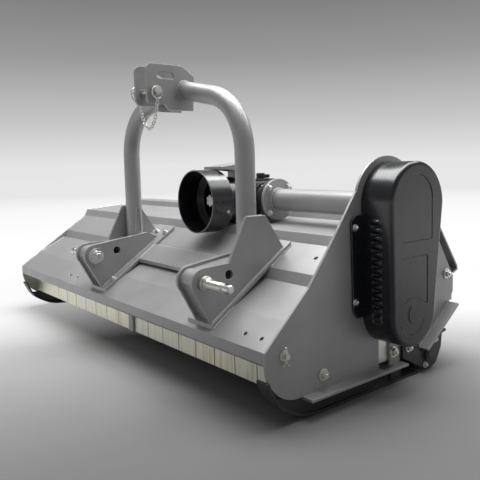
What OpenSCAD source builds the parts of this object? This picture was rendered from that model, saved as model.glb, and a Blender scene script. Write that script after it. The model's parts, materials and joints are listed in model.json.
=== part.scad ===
// Three-point flail mower: a folded deck on two side plates carries an offset
// gearbox, a belt drive in a side cover, a hammer rotor, front flaps, skids and a rear roller.
// X runs across the machine, +Y to the rear, +Z up, millimetres. Heights are given over a base
// line that lies a little under the ground.

/* [Width] */
// Spacing of the front flaps across the machine
flap_pitch = 80; // [70:1:95]
// Flaps on the belt side of the centre hanger
right_flaps = 8;
// Flaps on the other side of the centre hanger
left_flaps = 10;
// Width of the centre flap hanger
hanger_w = 24; // [16:1:40]
// Distance of the hitch centre from the deck centre, towards the belt side
hitch_shift = 215; // [150:5:260]

/* [Deck] */
// Height of the ground over the base line that all heights start from
ground_z = 8; // [4:1:12]
// Sheet thickness of the deck
deck_t = 5; // [4:0.5:7]
// Height of the front lip's top edge
lip_top = 175; // [165:1:190]
// Height of the front lip itself
lip_h = 25; // [15:1:35]
// Slope of the front of the deck
ramp_angle = 34; // [32:0.5:36]
// Distance of the first crease behind the lip
crease_y = 72; // [60:1:85]
// Depth of the recess between the crease and the step
recess = 18; // [10:1:22]
// Distance of the step behind the lip
step_y = 188; // [180:1:200]
// End of the sloping panel, where the second step rises
ramp_end = 268; // [255:1:280]
// Height of the top panel's front edge
top_z = 380; // [376:1:384]

/* [Side plates] */
// Thickness of the side plates
plate_t = 6; // [4:0.5:8]
// Height of the side plates' bottom edge
plate_bottom = 57; // [50:1:64]
// Width of the flanges bent outwards
flange_w = 28; // [24:1:40]
// Radius of the front lower corner
corner_r = 92; // [80:1:95]

/* [Hitch] */
// Distance between the hitch centre and the inner bracket plates' inner faces
bracket_x = 254; // [248:1:262]
// Thickness of the bracket plates
bracket_t = 8; // [6:0.5:10]
// Outer diameter of the bent frame tubes
tube_od = 49.4; // [44:0.2:52]
// Height of the lower link pins
lower_pin_z = 290; // [285:1:296]
// Distance of the lower link pins behind the lip's front face
lower_pin_y = -3; // [-6:1:2]
// Diameter of the lower link pins
lower_pin_d = 22; // [20:0.5:24]
// Height of the top link pin over the lower pins
mast_h = 460; // [450:1:470]
// Distance of the top link pin behind the lip's front face
top_pin_y = 54; // [48:1:60]
// Diameter of the top link pin
top_pin_d = 19; // [17:0.5:20]
// Clear gap between the top link plates
top_gap = 52; // [48:1:56]

/* [Drive] */
// Height of the gearbox's shafts
drive_z = 450; // [446:1:454]
// Distance of the cross shaft behind the lip's front face
drive_y = 391; // [386:1:396]
// Teeth of the bevel gear
gear_teeth = 30;
// Teeth of the bevel pinion
pinion_teeth = 10;
// Gear module of the bevel pair
gear_module = 3; // [2.8:0.1:3.2]
// Diameter of the splined input shaft
pto_d = 34.9; // [30:0.1:36]
// Pitch radius of the upper pulley
upper_r = 75; // [70:1:80]
// Pitch radius of the lower pulley
lower_r = 60; // [55:1:64]
// Depth of the belt cover
cover_depth = 88; // [84:1:95]
// Outer radius of the belt cover round the upper pulley
cover_r1 = 100; // [97:1:104]
// Outer radius of the belt cover round the lower pulley
cover_r2 = 82; // [80:1:88]
// Outer radius of the input shaft's guard drum
drum_r = 90; // [84:1:95]

/* [Rotor] */
// Height of the rotor's axis
rotor_z = 206; // [200:1:212]
// Distance of the rotor's axis behind the lip's front face
rotor_y = 378; // [372:1:384]
// Outer radius of the rotor tube
rotor_r = 57; // [50:1:60]
// Radius at which the hammers are hung
hang_r = 82; // [78:1:86]
// Radius that the hammer tips sweep
sweep_r = 165; // [155:1:168]
// Hammers in each of the four rows
row_hammers = 6;

/* [Ground] */
// Radius of the rear roller
roller_r = 44; // [38:1:50]
// Distance of the roller's axis behind the lip's front face
roller_y = 550; // [548:1:556]
// Width of the skid runners
skid_w = 36; // [28:1:46]
// Thickness of the skid runners
skid_t = 6; // [4:0.5:7]

/* [Flaps] */
// Height of the flap rod
flap_rod_z = 160; // [156:1:164]
// Distance of the flap rod behind the lip's front face
flap_rod_y = 50; // [46:1:56]
// Radius of the flap rod
flap_rod_r = 6; // [5:0.5:7]
// Reach of a flap below its rod
flap_drop = 84; // [76:1:88]
// Thickness of a flap
flap_t = 3; // [2:0.5:4]

/* [Hidden] */
$fn = 48;

// Clearances and small amounts
// Gap between parts that touch but are not joined by a fit
seat = 0.3;
// Radial gap of a running fit
run = 0.08;
// Overrun of a cut past the face it opens
over = 1;
// Step by which a straight side ends inside the circle it runs into
tuck = 0.03;

// Colours
paint = [0.46, 0.46, 0.46];
black = [0.05, 0.05, 0.06];
zinc = [0.78, 0.79, 0.78];
flap_zinc = [0.66, 0.65, 0.52];
steel = [0.62, 0.62, 0.62];
rubber = [0.08, 0.08, 0.08];

// Widths
half_in = ((left_flaps + right_flaps) * flap_pitch + hanger_w) / 2;
half_out = half_in + plate_t;
hanger_x = half_in - right_flaps * flap_pitch - hanger_w / 2;

// Skid place and the overall box, whose bottom centre is the origin
skid_rear = 508;
skid_side = 4;
nose_r = 34;
hood_low_y = 712;
cover_out = half_out + cover_depth;
box_left = -half_out - flange_w;
box_right = cover_out;
box_front = lower_pin_y - nose_r;
box_rear = hood_low_y;
centre_x = (box_left + box_right) / 2;
centre_y = (box_front + box_rear) / 2;

// Deck profile
function ramp(y) = lip_top + y * tan(ramp_angle);
step_run = 12;
shelf_run = 12;
rib_y = 470;
rib_rise = 20;
rib_run = 8;
top_rise = 12;
deck_rear = 500;
deck_top = [
    [0, lip_top - lip_h], [0, lip_top], [crease_y, ramp(crease_y)],
    [step_y - step_run, ramp(step_y - step_run) - recess], [step_y, ramp(step_y)],
    [ramp_end, ramp(ramp_end)], [ramp_end + shelf_run, top_z],
    [rib_y, top_z + top_rise], [rib_y + rib_run, top_z + top_rise + rib_rise],
    [deck_rear, top_z + top_rise + rib_rise]];
// The sheet's under side is its top side moved by this step
deck_under = [deck_t * 0.55, -deck_t];
rib_z = top_z + top_rise + rib_rise;

// Side plate outline
flange_t = 6;
flange_front = corner_r + 12;
flange_rear = 437;
heel_y = 518;
heel_z = 74;
tail_y = 656;
tail_z = 171;
tail_edge_y = 674;
hood_gap_y = 607;
hood_gap_z = 342;
plate_head_r = 117;
slot_w = 43;

// Bracket and frame
bracket_gap = tube_od + 2 * seat;
outer_x = bracket_x + bracket_t + bracket_gap;
tube_x = bracket_x + bracket_t + bracket_gap / 2;
tube_y = 148;
bar_t = 10;
bar_w = 100;
bar_y0 = 10;
bar_y1 = 258;
bar_x0 = 226;
tube_z0 = 308;
bend_z = 582;
bend_r = 150;
bend_angle = 78.5;
top_pin_z = lower_pin_z + mast_h;
top_t = 8;
tube_end_x = top_gap / 2 + top_t;

// Gearbox
gear_r = gear_teeth * gear_module / 2;
pinion_r = pinion_teeth * gear_module / 2;
box_w = 124;
box_clear = 14;
box_h = 2 * (drive_z - top_z - box_clear);
box_l = 112;
box_x = hitch_shift + 4;
box_y0 = drive_y - 58;
box_wall = 9;
neck_len = 60;
neck_barrel_r = 42;
flange_r = 60;
flange_x = box_x + box_w / 2 + neck_len;
input_hole_r = 26;
cross_r = 12.5;
input_r = 17.5;
bearing_w = 16;
cross_hole_r = 27;
tube2_r = 31.5;
tube2_wall = 4;

// Rotor
cover_y0 = rotor_y - 30;
cover_y1 = rotor_y + 30;
shaft_r = 20;
rotor_half = half_in - 42;
lug_t = 8;
lug_r = 16;
hammer_w = 44;
bolt_r = 7;
hammer_bore = bolt_r + run;
row_pitch = 2 * (rotor_half - 70) / row_hammers;
row_angle = [45, 135, 225, 315];

// Roller arms
arm_t = 8;
arm_x = half_out + seat;
roller_half = half_in - 12;
stub_r = 15;
roller_z = ground_z + roller_r;

// General helpers
// Places everything so that the origin is the bottom centre of the whole machine
module place() {
    translate([-centre_x, -centre_y, -ground_z]) children();
}

// Extrudes an outline drawn in Y and Z along X, between two X places
module slab(x0, x1) {
    translate([x0, 0, 0]) rotate([90, 0, 90]) linear_extrude(x1 - x0) children();
}

// Solid round bar along X
module xbar(r, x0, x1, y, z) {
    translate([x0, y, z]) rotate([0, 90, 0]) cylinder(r = r, h = x1 - x0);
}

// Solid round bar along Y
module ybar(r, y0, y1, x, z) {
    translate([x, y0, z]) rotate([-90, 0, 0]) cylinder(r = r, h = y1 - y0);
}

// Hollow round tube along X
module xtube(ro, ri, x0, x1, y, z) {
    difference() {
        xbar(ro, x0, x1, y, z);
        xbar(ri, x0 - over, x1 + over, y, z);
    }
}

// Hollow round tube along Y
module ytube(ro, ri, y0, y1, x, z) {
    difference() {
        ybar(ro, y0, y1, x, z);
        ybar(ri, y0 - over, y1 + over, x, z);
    }
}

// Two circles and the straight sides that touch both
module strap_outline(c1, r1, c2, r2) {
    d = norm(c2 - c1);
    u = (c2 - c1) / d;
    n = [-u[1], u[0]];
    s = (r1 - r2) / d;
    k = sqrt(1 - s * s);
    q1 = r1 - tuck;
    q2 = r2 - tuck;
    translate(c1) circle(r1);
    translate(c2) circle(r2);
    polygon([c1 + q1 * (s * u + k * n), c2 + q2 * (s * u + k * n),
        c2 + q2 * (s * u - k * n), c1 + q1 * (s * u - k * n)]);
}

// Rectangle with round corners
module round_rect(w, h, r) {
    square([w - 2 * r, h], center = true);
    square([w, h - 2 * r], center = true);
    for (x = [-1, 1], y = [-1, 1])
        translate([x * (w / 2 - r), y * (h / 2 - r)]) circle(r);
}

// Hexagon head with a washer, standing out of a face towards +X
module bolt_head_x(r, x, y, z, side) {
    washer_t = r * 0.35;
    head_t = r * 1.0;
    translate([x, y, z]) rotate([0, side * 90, 0]) {
        cylinder(r = r * 1.75, h = washer_t);
        translate([0, 0, washer_t]) cylinder(r = r * 1.15, h = head_t, $fn = 6);
    }
}

// Hexagon head with a washer on a face whose normal leans by an angle from +Z to -Y
module bolt_head_up(r, x, y, z, lean) {
    washer_t = r * 0.35;
    head_t = r * 1.0;
    translate([x, y, z]) rotate([lean, 0, 0]) {
        cylinder(r = r * 1.75, h = washer_t);
        translate([0, 0, washer_t]) cylinder(r = r * 1.15, h = head_t, $fn = 6);
    }
}

// Deck
deck_hole_r = 5.5;
deck_holes = [[half_in - 34, 25], [half_in - 88, 25], [-half_in + 420, 25],
    [-half_in + 478, 25], [half_in - 78, 232]];

module deck_sheet() {
    n = len(deck_top);
    under = [for (i = [n - 1:-1:0]) deck_top[i] + deck_under];
    slab(-half_in + seat, half_in - seat) polygon(concat(deck_top, under));
}

module deck_hole(x, y) {
    translate([x, y, ramp(y)]) rotate([ramp_angle, 0, 0])
        translate([0, 0, -2 * deck_t]) cylinder(r = deck_hole_r, h = 4 * deck_t);
}

module deck() {
    color(paint) place() {
        difference() {
            deck_sheet();
            for (h = deck_holes) deck_hole(h[0], h[1]);
        }
        flap_hanger();
    }
}

// Bar that carries the flap rod between the two banks of flaps
module flap_hanger() {
    rod_hole = flap_rod_r + seat;
    difference() {
        slab(hanger_x - hanger_w / 2 + seat, hanger_x + hanger_w / 2 - seat)
            polygon([[flap_rod_y - 8, flap_rod_z - flap_drop], [flap_rod_y - 8, 150],
                [deck_under[0] + 2, 150], [deck_under[0] + 2, lip_top - 2],
                [flap_rod_y + 22, ramp(flap_rod_y + 22) - deck_t],
                [flap_rod_y + 22, flap_rod_z - 14], [flap_rod_y + 2, flap_rod_z - 22],
                [flap_rod_y + 2, flap_rod_z - flap_drop]]);
        xbar(rod_hole, hanger_x - hanger_w, hanger_x + hanger_w, flap_rod_y, flap_rod_z);
    }
}

// Side plates
module plate_front_corner() {
    intersection() {
        translate([corner_r, plate_bottom + corner_r]) circle(corner_r, $fn = 96);
        translate([0, plate_bottom]) square(corner_r);
    }
}

// Lower part that both side plates share
module plate_lower() {
    plate_front_corner();
    polygon([[0, plate_bottom + corner_r], [0, lip_top], [flange_rear, lip_top],
        [flange_rear, plate_bottom], [corner_r, plate_bottom], [corner_r, plate_bottom + corner_r]]);
    polygon([[flange_rear - over, plate_bottom], [flange_rear + 8, plate_bottom + 12],
        [heel_y, heel_z], [tail_y, tail_z], [tail_edge_y, tail_z + 26], [tail_edge_y, 240],
        [tail_edge_y - 6, 249], [flange_rear - over, 249]]);
}

module plate_slot() {
    translate([rotor_y - slot_w / 2, plate_bottom - over])
        square([slot_w, rotor_z - plate_bottom + over]);
    translate([rotor_y, rotor_z]) circle(slot_w / 2);
}

// Flanges bent outwards, between two X places
module flanges(x0, x1) {
    // Bottom flange, notched under the slot
    notch = 14;
    difference() {
        translate([x0, flange_front, plate_bottom - flange_t])
            cube([x1 - x0, flange_rear - flange_front, flange_t]);
        translate([-half_out - notch, rotor_y - slot_w / 2, plate_bottom - flange_t - over])
            cube([2 * (half_out + notch), slot_w, flange_t + 2 * over]);
    }
    // Heel flange under the sloping rear edge
    slab(x0, x1) polygon([[heel_y, heel_z], [tail_y, tail_z], [tail_y + 4, tail_z - 5],
        [heel_y + 4, heel_z - 5]]);
}

module plate_bores() {
    translate([flap_rod_y, flap_rod_z]) circle(flap_rod_r + seat);
    translate([hood_hinge_y, hood_hinge_z]) circle(hood_rod_r + seat);
    plate_slot();
}

module side_plate_left() {
    color(paint) place() {
        slab(-half_out, -half_in) difference() {
            union() {
                plate_lower();
                polygon([[0, lip_top - over], [0, lip_top], [ramp_end, ramp(ramp_end)],
                    [ramp_end + shelf_run, top_z], [rib_y, top_z + top_rise],
                    [rib_y + rib_run, rib_z], [560, 400], [hood_gap_y, hood_gap_z],
                    [tail_edge_y - 6, 248], [tail_edge_y - 6, lip_top - over]]);
            }
            plate_bores();
        }
        flanges(-half_out - flange_w, -half_in);
    }
}

module side_plate_right() {
    color(paint) place() {
        slab(half_in, half_out) difference() {
            union() {
                plate_lower();
                polygon([[0, lip_top - over], [0, lip_top], [126, 290], [200, 383], [278, 487],
                    [drive_y, drive_z], [480, 527], [hood_gap_y, hood_gap_z],
                    [tail_edge_y - 6, 248], [tail_edge_y - 6, lip_top - over]]);
                translate([drive_y, drive_z]) circle(plate_head_r, $fn = 96);
            }
            plate_bores();
            translate([drive_y, drive_z]) circle(cross_hole_r);
        }
        flanges(half_in, half_out + flange_w);
    }
}

// Hinged hood behind the rotor, with the hinge eye along its front edge
hood_t = 4;
hood_hinge_y = 514;
hood_hinge_z = rib_z - 10;
hood_eye_r = 9;
hood_rod_r = 5;
hood_side = 3;
hood_line = [[hood_hinge_y, rib_z], [590, rib_z - 4], [618, 388], [hood_low_y - 2, 262],
    [hood_low_y, 250], [692, 243]];
hood_under = [[690.7, 247], [hood_low_y - 5.5, 252.5], [hood_low_y - 7, 260], [615, 385],
    [588, rib_z - 4 - hood_t], [hood_hinge_y, rib_z - hood_t]];

module rear_hood() {
    x = half_in - hood_side;
    color(paint) place() difference() {
        union() {
            slab(-x, x) polygon(concat(hood_line, hood_under));
            slab(-x, x) {
                translate([hood_hinge_y, hood_hinge_z]) circle(hood_eye_r);
                translate([hood_hinge_y, hood_hinge_z]) square([hood_eye_r, rib_z - hood_hinge_z - 1]);
            }
        }
        xbar(hood_rod_r + run, -half_in, half_in, hood_hinge_y, hood_hinge_z);
    }
}

// Hitch
module cross_member() {
    y0 = 126;
    y1 = step_y - 4;
    color(paint) place()
        slab(hitch_shift - bar_x0 + seat, hitch_shift + bar_x0 - seat)
            polygon([[y0, ramp(y0)], [y0, ramp(y0) + bar_t], [y1, ramp(y1) + bar_t], [y1, ramp(y1)]]);
}

tower = [[68, 327], [121, 430], [181, 430], [238, ramp(238) + bar_t - over]];
module outer_plate_outline() {
    translate([lower_pin_y, lower_pin_z]) circle(nose_r);
    polygon([[bar_y0 + 2, ramp(bar_y0) + bar_t], [lower_pin_y - nose_r, lower_pin_z - 6],
        [lower_pin_y, lower_pin_z + nose_r], tower[0], tower[1], tower[2], tower[3]]);
}

module inner_plate_outline() {
    translate([lower_pin_y, lower_pin_z]) circle(nose_r);
    polygon([[bar_y0 + 2, ramp(bar_y0) + bar_t], [lower_pin_y - nose_r, lower_pin_z - 6],
        [lower_pin_y, lower_pin_z + nose_r], [172, 346], [214, ramp(214) + bar_t - over]]);
}

spare_y = 67;
spare_z = 300;
module bracket_holes() {
    translate([lower_pin_y, lower_pin_z]) circle(lower_pin_d / 2 + seat);
    translate([spare_y, spare_z]) circle(11.4);
}

// One bracket, drawn for the +X side of the hitch centre
module hitch_bracket() {
    strap_in = 7;
    strap_t = 8;
    slab(bracket_x, bracket_x + bracket_t) difference() {
        inner_plate_outline();
        bracket_holes();
    }
    slab(outer_x, outer_x + bracket_t) difference() {
        outer_plate_outline();
        bracket_holes();
    }
    // Strap that closes the bracket's front and top between the plates
    slab(bracket_x + bracket_t, outer_x) {
        difference() {
            intersection() {
                translate([lower_pin_y, lower_pin_z]) circle(nose_r - strap_in);
                polygon([[-80, 288], [-80, 400], [6, 400], [4, 288]]);
            }
            translate([lower_pin_y, lower_pin_z]) circle(nose_r - strap_in - strap_t);
        }
        polygon([[bar_y0 + 10, ramp(bar_y0 + 10) + bar_t], [bar_y0 + 18, ramp(bar_y0 + 18) + bar_t],
            [lower_pin_y - 18, lower_pin_z - 1], [lower_pin_y - 26.5, lower_pin_z - 3]]);
        polygon([[lower_pin_y + 4, lower_pin_z + 26], [118, 332], [118, 324],
            [lower_pin_y + 4, lower_pin_z + 18]]);
    }
    // Base bar bolted to the deck
    slab(bar_x0, bar_x0 + bar_w) polygon([[bar_y0, ramp(bar_y0)], [bar_y0, ramp(bar_y0) + bar_t],
        [bar_y1, ramp(bar_y1) + bar_t], [bar_y1, ramp(bar_y1)]]);
}

module hitch_bracket_right() {
    color(paint) place() translate([hitch_shift, 0, 0]) hitch_bracket();
}

module hitch_bracket_left() {
    color(paint) place() translate([hitch_shift, 0, 0]) mirror([1, 0, 0]) hitch_bracket();
}

// Bent frame tube, drawn for the +X side of the hitch centre
module a_frame_tube() {
    wall = 4;
    ro = tube_od / 2;
    ri = ro - wall;
    end_x = tube_x - bend_r + bend_r * cos(bend_angle);
    end_z = bend_z + bend_r * sin(bend_angle);
    run_len = (end_x - tube_end_x - seat) / sin(bend_angle);
    translate([tube_x, tube_y, tube_z0]) difference() {
        cylinder(r = ro, h = bend_z - tube_z0);
        translate([0, 0, -over]) cylinder(r = ri, h = bend_z - tube_z0 + 2 * over);
    }
    translate([tube_x - bend_r, tube_y, bend_z]) rotate([90, 0, 0])
        rotate_extrude(angle = bend_angle) translate([bend_r, 0]) difference() {
            circle(ro);
            circle(ri);
        }
    difference() {
        translate([end_x, tube_y, end_z]) rotate([0, -bend_angle, 0]) tube_run(ro, ri, run_len + 20);
        translate([tube_end_x + seat - 100, tube_y - 50, end_z - 50]) cube([100, 100, 150]);
    }
}

module tube_run(ro, ri, len) {
    difference() {
        cylinder(r = ro, h = len);
        translate([0, 0, -over]) cylinder(r = ri, h = len + 2 * over);
    }
}

module a_frame_tube_right() {
    color(paint) place() translate([hitch_shift, 0, 0]) a_frame_tube();
}

module a_frame_tube_left() {
    color(paint) place() translate([hitch_shift, 0, 0]) mirror([1, 0, 0]) a_frame_tube();
}

// Everything here is measured from the top link pin
module top_plate_outline() {
    low_r = 14;
    high_r = 16;
    front = -22;
    grip_r = 9;
    grip_len = 36;
    translate([top_pin_y, top_pin_z]) difference() {
        union() {
            translate([front + low_r, -20]) circle(low_r);
            translate([front + high_r, 54]) circle(high_r);
            polygon([[front, -20], [front, 54], [front + high_r, 54 + high_r], [85, 70], [124, 44],
                [119, -48], [50, -48], [42, -46], [36, -40], [32, -34], [front + low_r, -34]]);
        }
        circle(top_pin_d / 2 + seat);
        translate([16, 42]) circle(grip_r);
        translate([16 + grip_len, 42]) circle(grip_r);
        translate([16, 42 - grip_r]) square([grip_len, 2 * grip_r]);
    }
}

module top_link_plates() {
    color(paint) place() translate([hitch_shift, 0, 0]) {
        for (s = [-1, 1]) slab(s > 0 ? top_gap / 2 : -top_gap / 2 - top_t,
            s > 0 ? top_gap / 2 + top_t : -top_gap / 2) top_plate_outline();
        // Cross web that ties the plates behind the link's eye
        slab(-top_gap / 2, top_gap / 2) translate([top_pin_y + 70, top_pin_z - 38]) square([top_t, 68]);
    }
}

pin_head_r = 13;
pin_neck_r = 7;
pin_face = top_gap / 2 + top_t;
pin_reach = pin_face + 34;
module top_link_pin() {
    color(zinc) place() translate([hitch_shift, 0, 0]) {
        difference() {
            union() {
                xbar(top_pin_d / 2, -pin_reach, pin_face + 1, top_pin_y, top_pin_z);
                xbar(pin_head_r, pin_face + seat, pin_face + 10, top_pin_y, top_pin_z);
                xbar(pin_neck_r, pin_face + 9, pin_face + 20, top_pin_y, top_pin_z);
                xbar(10, pin_face + 18, pin_face + 21, top_pin_y, top_pin_z);
            }
            translate([linch_x, top_pin_y, top_pin_z - 30]) cylinder(r = linch_r + run, h = 60);
        }
    }
}

linch_x = -pin_face - 23;
linch_r = 4.5;
linch_drop = 17;
linch_head_z = 13;
module linch_pin() {
    color(zinc) place() translate([hitch_shift, 0, 0]) difference() {
        union() {
            translate([linch_x, top_pin_y, top_pin_z - linch_drop])
                cylinder(r = linch_r, h = linch_drop + linch_head_z);
            translate([linch_x, top_pin_y, top_pin_z + linch_head_z - 0.5]) cylinder(r = 6.5, h = 12);
        }
        ybar(3.1, top_pin_y - 12, top_pin_y + 12, linch_x, top_pin_z + linch_head_z + 6);
    }
}

bail_r = 19.5;
bail_wire = 1.8;
bail_z = top_pin_z + linch_head_z + 6;
// Spring wire ring that swings over the linch pin's tip
module linch_bail() {
    color(zinc) place() translate([hitch_shift + linch_x, top_pin_y, bail_z - bail_r])
        rotate([0, 90, 0]) rotate_extrude() translate([bail_r, 0]) circle(bail_wire, $fn = 24);
}

// Retaining chain that hangs from a ring on the pin's neck and a ring round the pin's far end
chain_n = 20;
chain_wire = 1.2;
ring_wire = 1.6;
neck_ring_r = 15;
neck_ring_x = pin_face + 14;
neck_ring_z = top_pin_z + pin_neck_r + seat + ring_wire - neck_ring_r;
ring_low = neck_ring_z - neck_ring_r;
end_ring_r = (top_pin_z + top_pin_d / 2 + seat + ring_wire - ring_low) / 2;
end_ring_x = linch_x + 10;
chain_mid = (neck_ring_x + end_ring_x) / 2;
chain_c = 0.4716 * (neck_ring_x - end_ring_x) / 2;
chain_half = 4.107 * chain_c;
chain_r = (2 * chain_half / chain_n + 2 * chain_wire + 0.4) / 2;
chain_top = ring_low + ring_wire + seat - chain_r + chain_wire;
chain_low = chain_top - sqrt(chain_c * chain_c + chain_half * chain_half) + chain_c;
// Point of the hanging chain at a length from its lowest point
function chain_at(s) = [chain_mid + chain_c * ln(s / chain_c + sqrt(s * s / chain_c / chain_c + 1)),
    top_pin_y, chain_low + sqrt(chain_c * chain_c + s * s) - chain_c];
module ring(r, wire) {
    rotate_extrude() translate([r, 0]) circle(wire, $fn = 16);
}

module pin_chain() {
    color(zinc) place() translate([hitch_shift, 0, 0]) {
        for (i = [0:chain_n]) {
            s = chain_half * (2 * i / chain_n - 1);
            translate(chain_at(s)) rotate([0, -atan2(s, chain_c), 0])
                rotate([90 - i % 2 * 90, 0, 0]) ring(chain_r, chain_wire);
        }
        translate([neck_ring_x, top_pin_y, neck_ring_z]) rotate([0, 90, 0]) ring(neck_ring_r, ring_wire);
        translate([end_ring_x, top_pin_y, ring_low + end_ring_r]) rotate([0, 90, 0])
            ring(end_ring_r, ring_wire);
    }
}

lower_reach = 100;
// Both lower link pins with their nuts, washers and collars
module lower_link_pins() {
    color(zinc) place() translate([hitch_shift, 0, 0]) for (s = [-1, 1]) mirror([s < 0 ? 1 : 0, 0, 0]) {
        face = outer_x + bracket_t;
        difference() {
            union() {
                xbar(lower_pin_d / 2, bracket_x - 22, face + lower_reach - 24, lower_pin_y, lower_pin_z);
                xbar(lower_pin_d / 2 - 2, face + lower_reach - 25, face + lower_reach,
                    lower_pin_y, lower_pin_z);
                xbar(17, face + seat, face + 9, lower_pin_y, lower_pin_z);
            }
            translate([face + lower_reach - 14, lower_pin_y, lower_pin_z - 20]) cylinder(r = 5.5, h = 40);
        }
        xbar(23, bracket_x - 4, bracket_x - seat, lower_pin_y, lower_pin_z);
        translate([bracket_x - 20, lower_pin_y, lower_pin_z]) rotate([0, 90, 0])
            cylinder(r = 19, h = 16.5, $fn = 6);
    }
}

// Holes of the bolts that join the cross tube to the gearbox
flange_bolt_r = 5;
flange_bolt_c = flange_r - 9;
module flange_holes() {
    for (a = [45:90:315]) xbar(flange_bolt_r + seat, flange_x - 20, flange_x + 20,
        drive_y + flange_bolt_c * cos(a), drive_z + flange_bolt_c * sin(a));
}

// Gearbox
module gearbox_housing() {
    cy = box_y0 + box_l / 2;
    cavity_l = box_l - box_wall;
    color(black) place() difference() {
        union() {
            translate([box_x, box_y0, drive_z]) rotate([-90, 0, 0]) linear_extrude(box_l)
                round_rect(box_w, box_h, 16);
            ybar(50, box_y0 - 14, box_y0 + 2, hitch_shift, drive_z);
            xbar(neck_barrel_r, box_x + box_w / 2 - 4, flange_x - 12, drive_y, drive_z);
            xbar(flange_r, flange_x - 14, flange_x, drive_y, drive_z);
            xbar(34, box_x - box_w / 2 - 8, box_x - box_w / 2 + 2, drive_y, drive_z);
            translate([box_x - 42, box_y0 + 12, drive_z + box_h / 2 - 6])
                cube([98, box_l - 16, 9]);
            translate([box_x - 52, box_y0 + 8, drive_z - box_h / 2 - 4])
                cube([104, box_l - 16, 8]);
        }
        translate([box_x, box_y0 + box_wall, drive_z]) rotate([-90, 0, 0])
            linear_extrude(cavity_l + over) round_rect(box_w - 2 * box_wall, box_h - 2 * box_wall, 10);
        ybar(input_hole_r, box_y0 - 15, box_y0 + 20, hitch_shift, drive_z);
        xbar(cross_hole_r, box_x + box_w / 2 - 20, flange_x + over, drive_y, drive_z);
        flange_holes();
        translate([cap_x, plug_y, drive_z + box_h / 2 - 20]) cylinder(r = cap_stem_r + 0.2, h = 40);
        translate([knob_x, plug_y, drive_z + box_h / 2 - 20]) cylinder(r = knob_stem_r + 0.2, h = 40);
    }
}

module gearbox_cover() {
    y0 = box_y0 + box_l;
    color(black) place() {
        translate([box_x, y0, drive_z]) rotate([-90, 0, 0]) linear_extrude(7)
            round_rect(box_w, box_h, 16);
        ybar(30, y0 + 6, y0 + 12, hitch_shift, drive_z);
        for (x = [-1, 1], z = [-1, 1])
            translate([box_x + x * (box_w / 2 - 12), y0 + 7, drive_z + z * (box_h / 2 - 12)])
            rotate([-90, 0, 0]) cylinder(r = 7, h = 5, $fn = 6);
    }
}

// Filler plug with its round cap, and the breather
plug_y = box_y0 + box_l - 24;
cap_x = box_x + 14;
knob_x = box_x + 43;
cap_stem_r = 8;
knob_stem_r = 6;
module oil_plugs() {
    z = drive_z + box_h / 2 + 3;
    color([0.10, 0.10, 0.09]) place() {
        translate([cap_x, plug_y, z - 12]) cylinder(r = cap_stem_r, h = 13);
        translate([cap_x, plug_y, z]) cylinder(r = 13, h = 17, $fn = 16);
        translate([knob_x, plug_y, z - 12]) cylinder(r = knob_stem_r, h = 13);
        translate([knob_x, plug_y, z]) cylinder(r = 7, h = 4);
        translate([knob_x, plug_y, z + 3.5]) cylinder(r = 9, h = 10);
    }
}

// Splined stub and the shaft that carries the bevel gear
shaft_front = 242;
gear_back = drive_y - pinion_r - 24;
module input_shaft() {
    spline_len = 76;
    root_r = pto_d / 2 - 3;
    color(steel) place() translate([hitch_shift, 0, drive_z]) {
        difference() {
            ybar(pto_d / 2, shaft_front, shaft_front + spline_len, 0, 0);
            for (i = [0:5]) rotate([0, i * 60 + 30, 0]) translate([-5, shaft_front - over, root_r])
                cube([10, spline_len - 6, 12]);
            difference() {
                ybar(pto_d / 2 + 2, shaft_front + 38, shaft_front + 46, 0, 0);
                ybar(root_r + 0.8, shaft_front + 37, shaft_front + 47, 0, 0);
            }
        }
        ybar(input_r, shaft_front + spline_len - over, gear_back + 18, 0, 0);
    }
}

tooth_w = 2;
tooth_up = 1.8;
tooth_down = 2.6;
gear_cone = atan(gear_r / pinion_r);
pinion_cone = 90 - gear_cone;
gear_face = 14;
cone_len = norm([gear_r, pinion_r]);
// Bevel gear; its apex is the crossing of the two shafts
module bevel_gear() {
    color(steel) place() translate([hitch_shift, drive_y, drive_z]) difference() {
        union() {
            rotate([90, 0, 0]) rotate_extrude() polygon([[0, pinion_r + 4.5],
                [gear_r - gear_face - 2, pinion_r - 0.4],
                [gear_r - gear_face - 2, pinion_r - gear_face / 3 + tooth_down],
                [gear_r, pinion_r + tooth_down], [gear_r, pinion_r + 10], [26, pinion_r + 14],
                [26, pinion_r + 24], [0, pinion_r + 24]]);
            for (i = [0:gear_teeth - 1]) rotate([0, i * 360 / gear_teeth, 0])
                rotate([0, 0, -pinion_cone]) translate([cone_len - gear_face, -tooth_down - 1, -tooth_w / 2])
                    cube([gear_face, tooth_down + 1 + tooth_up, tooth_w]);
        }
        ybar(input_r + run, -pinion_r - 40, 0, 0, 0);
    }
}

// Shaft from the pinion to the upper pulley
pinion_face = 14;
pulley_x = half_out + 12;
pulley_w = 50;
module cross_shaft() {
    y = drive_y;
    color(steel) place() {
        translate([hitch_shift, y, drive_z]) {
            rotate([0, 90, 0]) rotate_extrude() polygon([
                [0, gear_r - pinion_face], [(gear_r - pinion_face) / 3 - tooth_down, gear_r - pinion_face],
                [pinion_r - tooth_down, gear_r], [pinion_r - tooth_down, gear_r + 3],
                [cross_r, gear_r + 4], [cross_r, gear_r + 8], [0, gear_r + 8]]);
            for (i = [0:pinion_teeth - 1]) rotate([i * 360 / pinion_teeth + 180 / pinion_teeth, 0, 0])
                rotate([0, 0, -pinion_cone]) translate([cone_len - pinion_face, -tooth_up, -tooth_w / 2])
                    cube([pinion_face, tooth_up + tooth_down + 0.6, tooth_w]);
        }
        xbar(cross_r, hitch_shift + gear_r + 7, pulley_x + pulley_w - 2, y, drive_z);
    }
}

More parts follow.
